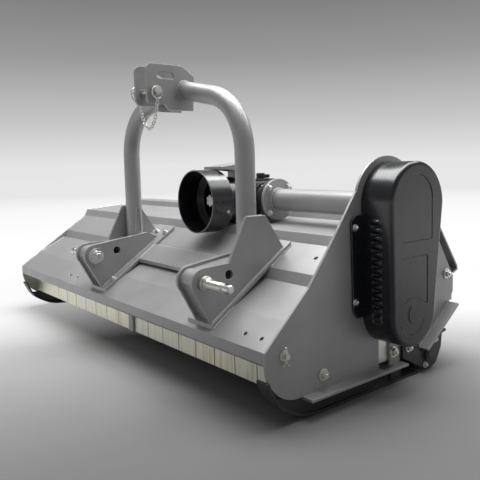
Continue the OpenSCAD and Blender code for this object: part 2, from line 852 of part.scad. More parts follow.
// Bearings of both gearbox shafts and of the cross shaft's outer end, with their seals
module gearbox_bearings() {
    color(steel) place() {
        for (x = [box_x + box_w / 2 - 4, flange_x - 20]) {
            xtube(cross_hole_r - 0.1, cross_r + run, x, x + bearing_w, drive_y, drive_z);
        }
        xtube(cross_hole_r - 0.1, cross_r + run, half_in - 10, half_out, drive_y, drive_z);
        ytube(input_hole_r - 0.1, input_r + run, box_y0 - 13, box_y0 + 7, hitch_shift, drive_z);
    }
}

// Tube between the gearbox flange and the belt side plate
module cross_tube() {
    color(paint) place() difference() {
        union() {
            xbar(flange_r, flange_x + seat, flange_x + 9, drive_y, drive_z);
            xbar(tube2_r, flange_x + 8, half_in - seat, drive_y, drive_z);
            xbar(tube2_r + 12, half_in - 8, half_in - seat, drive_y, drive_z);
        }
        xbar(tube2_r - tube2_wall, flange_x - over, half_in + over, drive_y, drive_z);
        flange_holes();
    }
}

// Guard drum round the input shaft
drum_y0 = 190;
drum_y1 = 260;
neck_r = 66;
guard_t = 3;
module pto_guard() {
    color(black) place() translate([hitch_shift, 0, drive_z]) rotate([-90, 0, 0])
        rotate_extrude($fn = 96) polygon([[drum_r - guard_t, drum_y0], [drum_r, drum_y0],
            [drum_r, drum_y1], [neck_r, drum_y1 + 6], [neck_r, box_y0 - seat], [51, box_y0 - seat],
            [51, box_y0 - guard_t - seat], [neck_r - guard_t, box_y0 - guard_t - seat],
            [neck_r - guard_t, drum_y1 + 3], [drum_r - guard_t, drum_y1 - 3]]);
}

// Folded plate over the drum, with side lips and a foot on the gearbox
module guard_bracket() {
    sheet = 4;
    low = drive_z + drum_r + seat;
    front_top = low + 8;
    top = low + 18;
    foot = drive_z + box_h / 2 + 3 + seat;
    front = drum_y1 - 4;
    back = box_y0 + 14;
    foot_end = back + 18;
    side = drum_r / 2;
    color(paint) place() translate([hitch_shift, 0, 0]) {
        slab(-side, side) polygon([[front, low], [front, front_top], [back, top], [back, foot + sheet],
            [foot_end, foot + sheet], [foot_end, foot], [back - sheet, foot], [back - sheet, top - sheet],
            [front + sheet, front_top - sheet], [front + sheet, low]]);
        for (x = [-side, side - sheet]) slab(x, x + sheet)
            polygon([[front, low], [front, front_top], [back, top], [back, top - 26], [front + 14, low]]);
    }
}

// Pulleys
groove_n = 3;
groove_pitch = 16;
module pulley(r, x0) {
    top_r = r + 5;
    floor_r = r - 9;
    translate([x0, 0, 0]) rotate([0, 90, 0]) rotate_extrude() difference() {
        polygon([[0, 0], [top_r, 0], [top_r, pulley_w], [0, pulley_w]]);
        for (i = [0:groove_n - 1]) translate([0, 9 + i * groove_pitch])
            polygon([[floor_r, -5.2], [floor_r, 5.2], [top_r + over, 7.2], [top_r + over, -7.2]]);
    }
}

module upper_pulley() {
    color(steel) place() translate([0, drive_y, drive_z]) difference() {
        pulley(upper_r, pulley_x);
        xbar(cross_r + run, 0, pulley_x + 100, 0, 0);
    }
}

module lower_pulley() {
    color(steel) place() translate([0, rotor_y, rotor_z]) difference() {
        pulley(lower_r, pulley_x);
        xbar(shaft_r + run, 0, pulley_x + 100, 0, 0);
    }
}

module drive_belts() {
    floor_up = upper_r - 9 + 1;
    floor_lo = lower_r - 9 + 1;
    thick = 8.5;
    a = [drive_y, drive_z];
    b = [rotor_y, rotor_z];
    color(rubber) place() for (i = [0:groove_n - 1]) {
        x = pulley_x + 9 + i * groove_pitch;
        slab(x - 4.8, x + 4.8) difference() {
            strap_outline(a, floor_up + thick, b, floor_lo + thick);
            strap_outline(a, floor_up, b, floor_lo);
        }
    }
}

// Belt cover
cover_t = 3;
strap_t = 5;
strap_bolt_y = 268;
strap_bolt_z = [406, 235];
vent_n = 13;
vent_pitch = 18.4;
// The cover sits a little behind and above the two shafts
cover_off = 3;
cover_head = [drive_y + cover_off, drive_z + cover_off];
module cover_outline(grow) {
    strap_outline(cover_head, cover_r1 + grow, [rotor_y + cover_off, rotor_z], cover_r2 + grow);
}

module belt_cover() {
    x0 = half_out + seat;
    face = cover_out;
    arch_w = 58;
    color(black) place() difference() {
        union() {
            slab(x0, face - 8) cover_outline(0);
            slab(face - 8, face - 3) cover_outline(-2.5);
            slab(face - 3, face) cover_outline(-5);
            // Base strap along the front side, that carries the two bolts
            slab(x0, x0 + strap_t) polygon([[270, 434], [306, 434], [312, 196], [274, 196], [262, 212],
                [256, 420]]);
        }
        slab(x0 - over, face - 9) cover_outline(-cover_t);
        // Pressed panels in the face
        slab(face - 3, face + over) {
            translate([cover_head[0] - 1, 463]) circle(arch_w);
            translate([cover_head[0] - 1 - arch_w, 373]) square([2 * arch_w, 90]);
            translate([334, 256]) square([98, 74]);
        }
        // Vent slots in the front wall
        for (i = [0:vent_n - 1])
            translate([half_out + 26, cover_head[0] - cover_r1 - 8, 414 - i * vent_pitch]) cube([34, 20, 9]);
        for (z = strap_bolt_z) xbar(4.6, x0 - over, x0 + 8, strap_bolt_y, z);
    }
}

// Rotor
module rotor_lug(x, a) {
    rotate([a, 0, 0]) difference() {
        union() {
            xbar(lug_r, x, x + lug_t, hang_r, 0);
            translate([x, rotor_r - 6, -lug_r]) cube([lug_t, hang_r - rotor_r + 6, 2 * lug_r]);
        }
        xbar(bolt_r + run, x - over, x + lug_t + over, hang_r, 0);
    }
}

function hammer_x(row, i) = -rotor_half + 60 + row_pitch * (i + 0.25 * row + 0.125);
module rotor() {
    color(paint) place() translate([0, rotor_y, rotor_z]) {
        xtube(rotor_r, rotor_r - 8, -rotor_half, rotor_half, 0, 0);
        for (s = [-1, 1]) xbar(rotor_r - 8, s > 0 ? rotor_half - 20 : -rotor_half,
            s > 0 ? rotor_half : -rotor_half + 20, 0, 0);
        xbar(shaft_r, -half_out - 16, -rotor_half + 1, 0, 0);
        xbar(shaft_r, rotor_half - 1, pulley_x + pulley_w - 2, 0, 0);
        for (row = [0:3], i = [0:row_hammers - 1], s = [-1, 1])
            rotor_lug(hammer_x(row, i) + s * (hammer_w / 2 - 6) - lug_t / 2 + s * (lug_t / 2 + 7),
                row_angle[row]);
    }
}

// One hammer hung on its bolt, pointing away from the rotor's axis
module hammer(x) {
    reach = sweep_r - hang_r;
    difference() {
        union() {
            xbar(15, x - hammer_w / 2 + 3, x + hammer_w / 2 - 3, 0, 0);
            slab(x - hammer_w / 2 + 3, x + hammer_w / 2 - 3)
                polygon([[0, -9], [reach - 26, -8], [reach - 26, 8], [0, 9]]);
            slab(x - hammer_w / 2 - 8, x + hammer_w / 2 + 8)
                polygon([[reach - 34, -7], [reach - 4, -13], [reach, -3], [reach - 2, 11],
                    [reach - 20, 12], [reach - 34, 7]]);
        }
        xbar(hammer_bore, x - hammer_w, x + hammer_w, 0, 0);
    }
}

module flail_row(row) {
    color(steel) place() translate([0, rotor_y, rotor_z]) rotate([row_angle[row], 0, 0])
        translate([0, hang_r, 0]) for (i = [0:row_hammers - 1]) hammer(hammer_x(row, i));
}

module flail_row_1() { flail_row(0); }
module flail_row_2() { flail_row(1); }
module flail_row_3() { flail_row(2); }
module flail_row_4() { flail_row(3); }

module flail_bolts() {
    color(zinc) place() translate([0, rotor_y, rotor_z]) for (row = [0:3], i = [0:row_hammers - 1])
        rotate([row_angle[row], 0, 0]) {
            x = hammer_x(row, i);
            h = hammer_w / 2 + 1 + lug_t;
            xbar(bolt_r, x - h - seat, x + h + seat + 6, hang_r, 0);
            translate([x - h - seat - 7, hang_r, 0]) rotate([0, 90, 0]) cylinder(r = 12, h = 7, $fn = 6);
            translate([x + h + seat, hang_r, 0]) rotate([0, 90, 0]) cylinder(r = 12, h = 7, $fn = 6);
        }
}

// Rotor bearings in round housings on the plates' inner faces, with the slot covers below
module rotor_bearings() {
    house_r = 52;
    house_w = 28;
    color(zinc) place() for (s = [-1, 1]) mirror([s < 0 ? 1 : 0, 0, 0]) {
        difference() {
            union() {
                xbar(house_r, half_in - 10 - seat, half_in - seat, rotor_y, rotor_z);
                xbar(38, half_in - house_w, half_in - 8, rotor_y, rotor_z);
                slab(half_in - 4, half_in - seat) translate([cover_y0, plate_bottom + 8])
                    square([cover_y1 - cover_y0, rotor_z - plate_bottom - 40]);
            }
            xbar(shaft_r + run, half_in - house_w - over, half_in + over, rotor_y, rotor_z);
        }
    }
}

// Rods of the flaps and of the hood, through both side plates, with washers and cross pins
module hinge_rod(r, y, z) {
    xbar(r, -half_out - 14, half_out + 14, y, z);
    for (s = [-1, 1]) {
        xbar(r * 2, s > 0 ? half_out + seat : -half_out - 3, s > 0 ? half_out + 3 : -half_out - seat, y, z);
        translate([s * (half_out + 8), y, z - 2 * r]) cylinder(r = 1.6, h = 4 * r);
    }
}

module hinge_rods() {
    color(zinc) place() {
        hinge_rod(flap_rod_r, flap_rod_y, flap_rod_z);
        hinge_rod(hood_rod_r, hood_hinge_y, hood_hinge_z);
    }
}

// Flaps
flap_gap = 3;
function flap_x(i) = i < right_flaps
    ? half_in - (i + 0.5) * flap_pitch
    : hanger_x - hanger_w / 2 - (i - right_flaps + 0.5) * flap_pitch;

module front_flap(i) {
    x0 = flap_x(i) - flap_pitch / 2 + flap_gap / 2;
    x1 = flap_x(i) + flap_pitch / 2 - flap_gap / 2;
    eye_r = flap_rod_r + run + 3.2;
    color(flap_zinc) place() translate([0, flap_rod_y, flap_rod_z]) difference() {
        slab(x0, x1) union() {
            circle(eye_r);
            translate([-flap_t / 2, -flap_drop]) square([flap_t, flap_drop]);
            translate([-flap_t / 2, -flap_drop]) square([flap_t + 5, flap_t]);
        }
        xbar(flap_rod_r + run, x0 - over, x1 + over, 0, 0);
    }
}

// Skids
// Under side of the runner, from its rear end to the tip of its nose, and the slope at each point
skid_line = [[skid_rear, 0], [150, 0], [114, 4], [88, 11], [64, 23], [46, 34], [33, 45], [20, 62],
    [10, 82], [1, 102]];
skid_slope = [0, 3, 10, 21, 29, 35, 45, 58, 67, 70];
web_t = 8;
// Skid for the +X side; its web is split where the rotor's slot cover passes
module skid() {
    n = len(skid_line);
    over_line = [for (i = [n - 1:-1:0])
        skid_line[i] + skid_t * [sin(skid_slope[i]), cos(skid_slope[i])]];
    x1 = half_out + skid_side;
    slab(x1 - skid_w, x1) translate([0, ground_z]) polygon(concat(skid_line, over_line));
    web_top = plate_bottom + 48;
    web_low = plate_bottom + 11;
    web_z = ground_z + 3;
    slab(half_in - web_t, half_in - seat) {
        polygon([[34, web_low], [128, web_low], [140, web_top], [cover_y0 - 4, web_top],
            [cover_y0 - 4, web_z], [150, web_z], [112, web_z + 4], [86, web_z + 11], [62, web_z + 23],
            [44, web_z + 34], [34, web_z + 42]]);
        polygon([[cover_y1 + 4, web_z], [cover_y1 + 4, web_top], [440, web_top], [452, web_z]]);
    }
}

module skid_right() {
    color([0.30, 0.30, 0.30]) place() skid();
}

module skid_left() {
    color([0.30, 0.30, 0.30]) place() mirror([1, 0, 0]) skid();
}

// Rear roller with its end discs and stubs
module roller() {
    color([0.34, 0.34, 0.34]) place() translate([0, roller_y, roller_z]) {
        xtube(roller_r, roller_r - 5, -roller_half, roller_half, 0, 0);
        for (s = [-1, 1]) xbar(roller_r - 5, s > 0 ? roller_half - 10 : -roller_half + 2,
            s > 0 ? roller_half - 2 : -roller_half + 10, 0, 0);
        for (s = [-1, 1]) xbar(stub_r, s > 0 ? roller_half - 3 : -arm_x - arm_t - 10,
            s > 0 ? arm_x + arm_t + 10 : -roller_half + 3, 0, 0);
    }
}

arm_outline = [[441, 64], [441, 104], [452, 112], [500, 112], [514, 64], [533, 73], [598, 118],
    [612, 112], [606, 60], [584, 22], [560, 12], [534, 14]];
// Arms that hold the roller, and the scraper bar between them
module roller_arms() {
    color([0.16, 0.16, 0.16]) place() {
        for (s = [-1, 1]) mirror([s < 0 ? 1 : 0, 0, 0]) {
            difference() {
                union() {
                    slab(arm_x, arm_x + arm_t) polygon(arm_outline);
                    xbar(21, arm_x + arm_t - 1, arm_x + arm_t + 8, roller_y, roller_z);
                }
                xbar(stub_r + run, arm_x - over, arm_x + arm_t + 20, roller_y, roller_z);
            }
        }
        slab(-arm_x - over, arm_x + over)
            polygon([[603, 88], [603, 94], [640, 99], [640, 93]]);
    }
}

// Bolts, nuts and washers that fasten the plates, brackets, covers and flanges
module fasteners() {
    color(zinc) place() {
        for (s = [-1, 1]) {
            face = s * (half_out + seat);
            bolt_head_x(8, face, 165, 91, s);
            bolt_head_x(8, face, 412, 86, s);
            bolt_head_x(8, face, 641, 250, s);
            arm_face = s * (arm_x + arm_t + seat);
            bolt_head_x(7, arm_face, 462, 88, s);
            bolt_head_x(5, arm_face, 533, 26, s);
            bolt_head_x(6, arm_face, 574, 86, s);
            for (x = [bar_x0 + 12, bar_x0 + 62], y = [44, 230])
                bolt_head_up(5.5, hitch_shift + s * x, y, ramp(y) + bar_t + 1.3 * seat, ramp_angle);
        }
        for (a = [45:90:315]) translate([flange_x, drive_y + flange_bolt_c * cos(a),
            drive_z + flange_bolt_c * sin(a)]) rotate([0, 90, 0]) {
                translate([0, 0, -20]) cylinder(r = flange_bolt_r, h = 36);
                translate([0, 0, -20 - seat]) cylinder(r = 8.5, h = 6, $fn = 6);
                translate([0, 0, 9 + seat]) cylinder(r = 8.5, h = 7, $fn = 6);
            }
        for (z = strap_bolt_z) bolt_head_x(5, half_out + strap_t + 2 * seat, strap_bolt_y, z, 1);
    }
}

deck();
side_plate_left();
side_plate_right();
rear_hood();
cross_member();
hitch_bracket_left();
hitch_bracket_right();
a_frame_tube_left();
a_frame_tube_right();
top_link_plates();
top_link_pin();
linch_pin();
linch_bail();
pin_chain();
lower_link_pins();
gearbox_housing();
gearbox_cover();
oil_plugs();
input_shaft();
bevel_gear();
cross_shaft();
gearbox_bearings();
cross_tube();
pto_guard();
guard_bracket();
upper_pulley();
lower_pulley();
drive_belts();
belt_cover();
rotor();
rotor_bearings();
flail_row_1();
flail_row_2();
flail_row_3();
flail_row_4();
flail_bolts();
hinge_rods();
skid_left();
skid_right();
roller();
roller_arms();
fasteners();
front_flap(0);  // front_flap_01
front_flap(1);  // front_flap_02
front_flap(2);  // front_flap_03
front_flap(3);  // front_flap_04
front_flap(4);  // front_flap_05
front_flap(5);  // front_flap_06
front_flap(6);  // front_flap_07
front_flap(7);  // front_flap_08
front_flap(8);  // front_flap_09
front_flap(9);  // front_flap_10
front_flap(10);  // front_flap_11
front_flap(11);  // front_flap_12
front_flap(12);  // front_flap_13
front_flap(13);  // front_flap_14
front_flap(14);  // front_flap_15
front_flap(15);  // front_flap_16
front_flap(16);  // front_flap_17
front_flap(17);  // front_flap_18
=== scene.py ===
"""Looks of a three-point flail mower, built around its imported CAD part.

Shapes are written in machine millimetres, as in the part's source: X from the deck's
centre, Y from the front lip, Z over the base line. to_row() turns them into the row frame.
"""

import json
import math

import bpy
from mathutils import Matrix, Vector, geometry


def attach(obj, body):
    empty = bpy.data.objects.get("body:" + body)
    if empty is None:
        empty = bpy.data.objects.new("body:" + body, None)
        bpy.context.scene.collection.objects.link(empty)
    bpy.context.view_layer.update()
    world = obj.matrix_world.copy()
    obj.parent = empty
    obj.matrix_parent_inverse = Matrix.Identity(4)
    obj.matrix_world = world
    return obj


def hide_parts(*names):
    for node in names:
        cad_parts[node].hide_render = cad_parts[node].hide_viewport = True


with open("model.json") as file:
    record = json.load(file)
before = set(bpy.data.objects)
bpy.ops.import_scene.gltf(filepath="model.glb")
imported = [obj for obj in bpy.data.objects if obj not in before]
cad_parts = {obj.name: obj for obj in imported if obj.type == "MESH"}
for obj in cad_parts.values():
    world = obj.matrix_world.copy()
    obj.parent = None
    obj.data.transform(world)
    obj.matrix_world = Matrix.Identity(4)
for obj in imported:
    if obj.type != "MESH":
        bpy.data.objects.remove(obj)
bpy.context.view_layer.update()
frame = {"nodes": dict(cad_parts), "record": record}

# Sizes, in millimetres
MM = 0.001                               # metres in a millimetre
ORIGIN = Vector((30.0, 337.5, 8.0))      # row origin, in machine millimetres
HALF_IN = 732.0                          # half the width between the side plates
HALF_OUT = 738.0                         # half the width over the side plates
SEAT = 0.3                               # gap between parts that touch
LIP_TOP = 175.0                          # top edge of the deck's front lip
RAMP_ANGLE = 34.0                        # slope of the deck's front, degrees
HITCH_X = 215.0                          # hitch centre
BRACKET_IN = 254.0                       # inner face of the inner bracket plate
BRACKET_OUT = 320.0                      # outer face of the outer bracket plate
BAR_IN, BAR_OUT, BAR_T = 226.0, 326.0, 10.0
LOWER_PIN_Y, LOWER_PIN_Z, LOWER_PIN_R = -3.0, 290.0, 11.0
TUBE_X, TUBE_Y, TUBE_R = 287.0, 148.0, 24.7
BEND_Z, BEND_R, BEND_ANGLE = 582.0, 150.0, 78.5     # frame tube's bend: start, radius, degrees
TOP_PIN_Y, TOP_PIN_Z = 54.0, 750.0
TOP_OUT = 34.0                           # outer face of the top link plates
DRIVE_Y, DRIVE_Z = 391.0, 450.0
ROTOR_Y, ROTOR_Z = 378.0, 206.0
COVER_OUT = 826.0                        # outer face of the belt cover
COVER_R1, COVER_R2, COVER_OFF = 100.0, 82.0, 3.0
FLANGE_X = 341.0                         # gearbox output flange
CROSS_R = 31.5                           # cross tube's radius
FLANGE_BOLT_C = 51.0                     # flange bolts' circle
DRUM_R, DRUM_Y0, NECK_R = 90.0, 190.0, 66.0
GEARBOX_X, GEARBOX_Y0, GEARBOX_Y1 = 219.0, 333.0, 445.0
BOX_W, BOX_H = 124.0, 112.0
FLAP_ROD_Y, FLAP_ROD_Z = 50.0, 160.0
FLAP_ROD_R = 6.0
HOOD_ROD_Y, HOOD_ROD_Z, HOOD_ROD_R = 514.0, 402.0, 5.0
ARM_X, ARM_T = 738.3, 8.0
PLATE_BOLTS = ((165, 91), (412, 86), (641, 250))             # (y, z) on the side plates
ARM_BOLTS = ((462, 88, 7), (533, 26, 5), (574, 86, 6))       # (y, z, bolt's radius)
STRAP_T, STRAP_BOLT_Y, STRAP_BOLT_Z = 5.0, 268.0, (406.0, 235.0)
BOX_TOP = DRIVE_Z + BOX_H / 2 + 3        # top of the gearbox's pad


def ramp(y):
    """Height of the deck's front slope at y."""
    return LIP_TOP + y * math.tan(math.radians(RAMP_ANGLE))


def to_row(p):
    """Machine millimetres to the row frame's metres."""
    return (Vector(p) - ORIGIN) * MM


# Camera, solved from points of the photograph
CAMERA_AT = (1613.4, -732.2, 555.4)
YAW, PITCH, ROLL = math.radians(50.24), math.radians(5.56), -0.0228
FOCAL_PX, CENTRE_PX, FRAME_PX, SENSOR = 585.5, (260.4, 220.3), 480.0, 36.0


def make_camera():
    look = Vector((-math.sin(YAW) * math.cos(PITCH), math.cos(YAW) * math.cos(PITCH), -math.sin(PITCH)))
    right = look.cross(Vector((0, 0, 1))).normalized()
    up = right.cross(look)
    right, up = (right * math.cos(ROLL) + up * math.sin(ROLL),
                 up * math.cos(ROLL) - right * math.sin(ROLL))
    data = bpy.data.cameras.new("photo_camera")
    data.sensor_width = SENSOR
    data.lens = FOCAL_PX / FRAME_PX * SENSOR
    data.shift_x = (FRAME_PX / 2 - CENTRE_PX[0]) / FRAME_PX
    data.shift_y = (CENTRE_PX[1] - FRAME_PX / 2) / FRAME_PX
    data.clip_start, data.clip_end = 0.05, 60
    cam = bpy.data.objects.new("photo_camera", data)
    cam.matrix_world = Matrix((
        (right.x, up.x, -look.x, 0), (right.y, up.y, -look.y, 0),
        (right.z, up.z, -look.z, 0), (0, 0, 0, 1)))
    cam.location = to_row(CAMERA_AT)
    bpy.context.scene.collection.objects.link(cam)
    bpy.context.scene.camera = cam


make_camera()


# Materials
class Nodes:
    """Small helper that adds linked shader nodes to one material or world."""

    def __init__(self, tree):
        self.tree = tree
        self.coords = None

    def add(self, kind, values=None, **settings):
        node = self.tree.nodes.new(kind)
        for key, value in settings.items():
            setattr(node, key, value)
        for key, value in (values or {}).items():
            if isinstance(value, bpy.types.NodeSocket):
                self.tree.links.new(value, node.inputs[key])
            else:
                node.inputs[key].default_value = value
        return node

    def place(self, scale=(1, 1, 1)):
        """Row coordinates in metres, stretched by scale."""
        if self.coords is None:
            self.coords = self.add("ShaderNodeTexCoord").outputs["Object"]
        if tuple(scale) == (1, 1, 1):
            return self.coords
        return self.add("ShaderNodeMapping", {"Vector": self.coords, "Scale": scale}).outputs[0]

    def noise(self, scale, detail=3, rough=0.5, stretch=(1, 1, 1), distort=0.0):
        return self.add("ShaderNodeTexNoise", {
            "Vector": self.place(stretch), "Scale": scale, "Detail": detail,
            "Roughness": rough, "Distortion": distort}).outputs["Fac"]

    def ramp(self, fac, low, high, a=0.0, b=1.0):
        """Maps fac from low..high to a..b, clamped."""
        return self.add("ShaderNodeMapRange", {
            "Value": fac, "From Min": low, "From Max": high, "To Min": a, "To Max": b}).outputs[0]

    def colours(self, fac, *stops):
        node = self.add("ShaderNodeValToRGB", {"Fac": fac})
        ends = node.color_ramp.elements
        while len(ends) < len(stops):
            ends.new(0.5)
        for end, (at, colour) in zip(ends, stops):
            end.position = at
            end.color = (*colour, 1)
        return node.outputs[0]

    def mix(self, fac, a, b):
        node = self.add("ShaderNodeMix", data_type="RGBA")
        for key, value in ((0, fac), (6, a), (7, b)):
            if isinstance(value, bpy.types.NodeSocket):
                self.tree.links.new(value, node.inputs[key])
            elif key:
                node.inputs[key].default_value = (*value, 1)
            else:
                node.inputs[key].default_value = value
        return node.outputs[2]

    def bump(self, height, strength, distance, normal=None):
        values = {"Height": height, "Strength": strength, "Distance": distance}
        if normal is not None:
            values["Normal"] = normal
        return self.add("ShaderNodeBump", values).outputs[0]

    def soft_edges(self, radius):
        """Normal that rounds sharp edges by radius, in metres."""
        return self.add("ShaderNodeBevel", {"Radius": radius}, samples=6).outputs[0]


def new_material(name):
    made = bpy.data.materials.new(name)
    made.use_nodes = True
    made.node_tree.nodes.clear()
    nodes = Nodes(made.node_tree)
    shader = nodes.add("ShaderNodeBsdfPrincipled")
    out = nodes.add("ShaderNodeOutputMaterial")
    made.node_tree.links.new(shader.outputs[0], out.inputs[0])
    return made, nodes, shader


def finish_material(made, shader, base=None, rough=None, normal=None, **values):
    """Links or sets the shader's sockets."""
    tree = made.node_tree
    for key, value in (("Base Color", base), ("Roughness", rough), ("Normal", normal)):
        if isinstance(value, bpy.types.NodeSocket):
            tree.links.new(value, shader.inputs[key])
        elif value is not None:
            shader.inputs[key].default_value = (*value, 1) if key == "Base Color" else value
    for key, value in values.items():
        shader.inputs[key.replace("_", " ")].default_value = value
    return made


def paint_material(name, tone, rough, flake=0.04, metallic=0.35, coat=0.0, edge=0.0,
                   gloss=0.15, peel=0.08):
    """Powder-coated or painted steel: faint clouds, dust, orange peel, soft edges and a painted highlight
    along sharp edges.
    """
    made, n, shader = new_material(name)
    light = tuple(c * 1.07 for c in tone)
    dark = tuple(c * 0.90 for c in tone)
    dusty = tuple(c * 0.93 + 0.012 for c in tone)
    clouds = n.noise(5.5, 5, 0.6)
    fine = n.noise(420, 2, 0.6)
    smears = n.ramp(n.noise(14, 6, 0.7, (1, 1, 0.5)), 0.56, 0.78, 0, 0.25)
    base = n.mix(n.ramp(clouds, 0.3, 0.7), dark, light)
    base = n.mix(smears, base, dusty)
    base = n.mix(n.ramp(fine, 0.5, 0.8, 0, flake), base, (0.8, 0.8, 0.8))
    soft = n.soft_edges(0.0016)
    if edge:
        # Painted highlight: sharp edges are lightened towards pale grey where the rounded normal leaves the
        # face's own
        true = n.add("ShaderNodeNewGeometry").outputs["True Normal"]
        apart = n.add("ShaderNodeVectorMath", {0: soft, 1: true},
                      operation="DOT_PRODUCT").outputs["Value"]
        base = n.mix(n.ramp(apart, 0.86, 0.99, edge, 0.0), base, (0.85, 0.85, 0.85))
    roughness = n.ramp(n.noise(24, 4, 0.6), 0.3, 0.7, rough - 0.05, rough + 0.06)
    normal = n.bump(n.noise(300, 2, 0.5), peel, 0.0004, soft)
    return finish_material(made, shader, base, roughness, normal, Metallic=metallic,
                           Coat_Weight=coat, Coat_Roughness=gloss)


def metal_material(name, cool, warm, rough, patch, stretch=(1, 1, 1), grain=0.0):
    """Bare or plated metal whose tint drifts between two colours."""
    made, n, shader = new_material(name)
    drift = n.noise(patch, 4, 0.55, stretch)
    base = n.mix(n.ramp(drift, 0.32, 0.68), cool, warm)
    roughness = n.ramp(n.noise(patch * 2.5, 2, 0.5, stretch), 0.3, 0.7, rough - 0.04, rough + 0.05)
    normal = n.soft_edges(0.0008)
    if grain:
        normal = n.bump(n.noise(700, 2, 0.6, stretch), grain, 0.0003, normal)
    return finish_material(made, shader, base, roughness, normal, Metallic=1.0)


def cast_material(name, tone, rough):
    made, n, shader = new_material(name)
    base = n.mix(n.ramp(n.noise(18, 5, 0.6), 0.35, 0.7), tone, tuple(c * 2.2 + 0.004 for c in tone))
    normal = n.bump(n.noise(260, 4, 0.65), 0.35, 0.0010, n.soft_edges(0.0020))
    return finish_material(made, shader, base, rough, normal, Metallic=0.0)


def flap_material():
    """Yellow-passivated zinc sheet with the fine vertical runs of the plating bath."""
    made, n, shader = new_material("flap_plating")
    runs = n.noise(62, 5, 0.6, (1, 1, 0.07), 0.3)
    fine = n.noise(210, 3, 0.6, (1, 1, 0.05))
    tint = n.noise(9, 3, 0.5, (1, 1, 0.25))
    yellow = n.colours(runs, (0.30, (0.62, 0.59, 0.42)), (0.47, (0.80, 0.78, 0.60)),
                       (0.60, (0.92, 0.91, 0.79)), (0.74, (0.74, 0.73, 0.61)))
    grey = n.colours(runs, (0.30, (0.60, 0.61, 0.53)), (0.50, (0.84, 0.84, 0.73)),
                     (0.72, (0.70, 0.71, 0.63)))
    base = n.mix(n.ramp(tint, 0.40, 0.60), yellow, grey)
    base = n.mix(n.ramp(fine, 0.50, 0.75, 0, 0.30), base, (0.33, 0.31, 0.23))
    roughness = n.ramp(runs, 0.3, 0.7, 0.36, 0.52)
    normal = n.bump(fine, 0.08, 0.0003, n.soft_edges(0.0008))
    return finish_material(made, shader, base, roughness, normal, Metallic=0.80)


def belt_material():
    made, n, shader = new_material("belt_rubber")
    base = n.mix(n.ramp(n.noise(60, 4, 0.6), 0.4, 0.7), (0.012, 0.012, 0.012), (0.035, 0.034, 0.033))
    normal = n.bump(n.noise(900, 2, 0.5), 0.25, 0.0004)
    return finish_material(made, shader, base, 0.75, normal)


# edge sets how strongly a finish's sharp edges are lightened, as a painted highlight
SLOTS = {
    "paint": paint_material("grey_powder_coat", (0.35, 0.35, 0.353), 0.42, coat=0.10, edge=0.7),
    "black": paint_material("black_gloss", (0.008, 0.009, 0.013), 0.26, flake=0.0, metallic=0.0,
                            coat=0.25, edge=0.22),
    "dark": paint_material("dark_primer", (0.045, 0.045, 0.048), 0.42, flake=0.02, metallic=0.2),
    "zinc": metal_material("zinc_plating", (0.66, 0.69, 0.65), (0.74, 0.73, 0.69), 0.34, 20),
    "flapzinc": flap_material(),
    "steel": metal_material("bare_steel", (0.42, 0.42, 0.42), (0.56, 0.55, 0.54), 0.38, 30,
                            stretch=(1, 4, 4), grain=0.10),
    "castblack": cast_material("black_casting", (0.012, 0.012, 0.013), 0.42),
    "belt": belt_material(),
}


# The guard over the input shaft is smoother and shinier than the other black parts
# Its edge value also paints a highlight along the sharp edges
SMOOTH_BLACK = paint_material("smooth_black", (0.006, 0.007, 0.011), 0.30, flake=0.0, metallic=0.0,
                              coat=1.0, edge=0.22, gloss=0.20, peel=0.02)


def dress_cad_nodes():
    slot_of = {s["node"]: s["material_slot"] for s in frame["record"]["subparts"]}
    for name, obj in frame["nodes"].items():
        material = SMOOTH_BLACK if name == "pto_guard" else SLOTS[slot_of[name]]
        if obj.data.materials:
            for i in range(len(obj.data.materials)):
                obj.data.materials[i] = material
        else:
            obj.data.materials.append(material)


dress_cad_nodes()


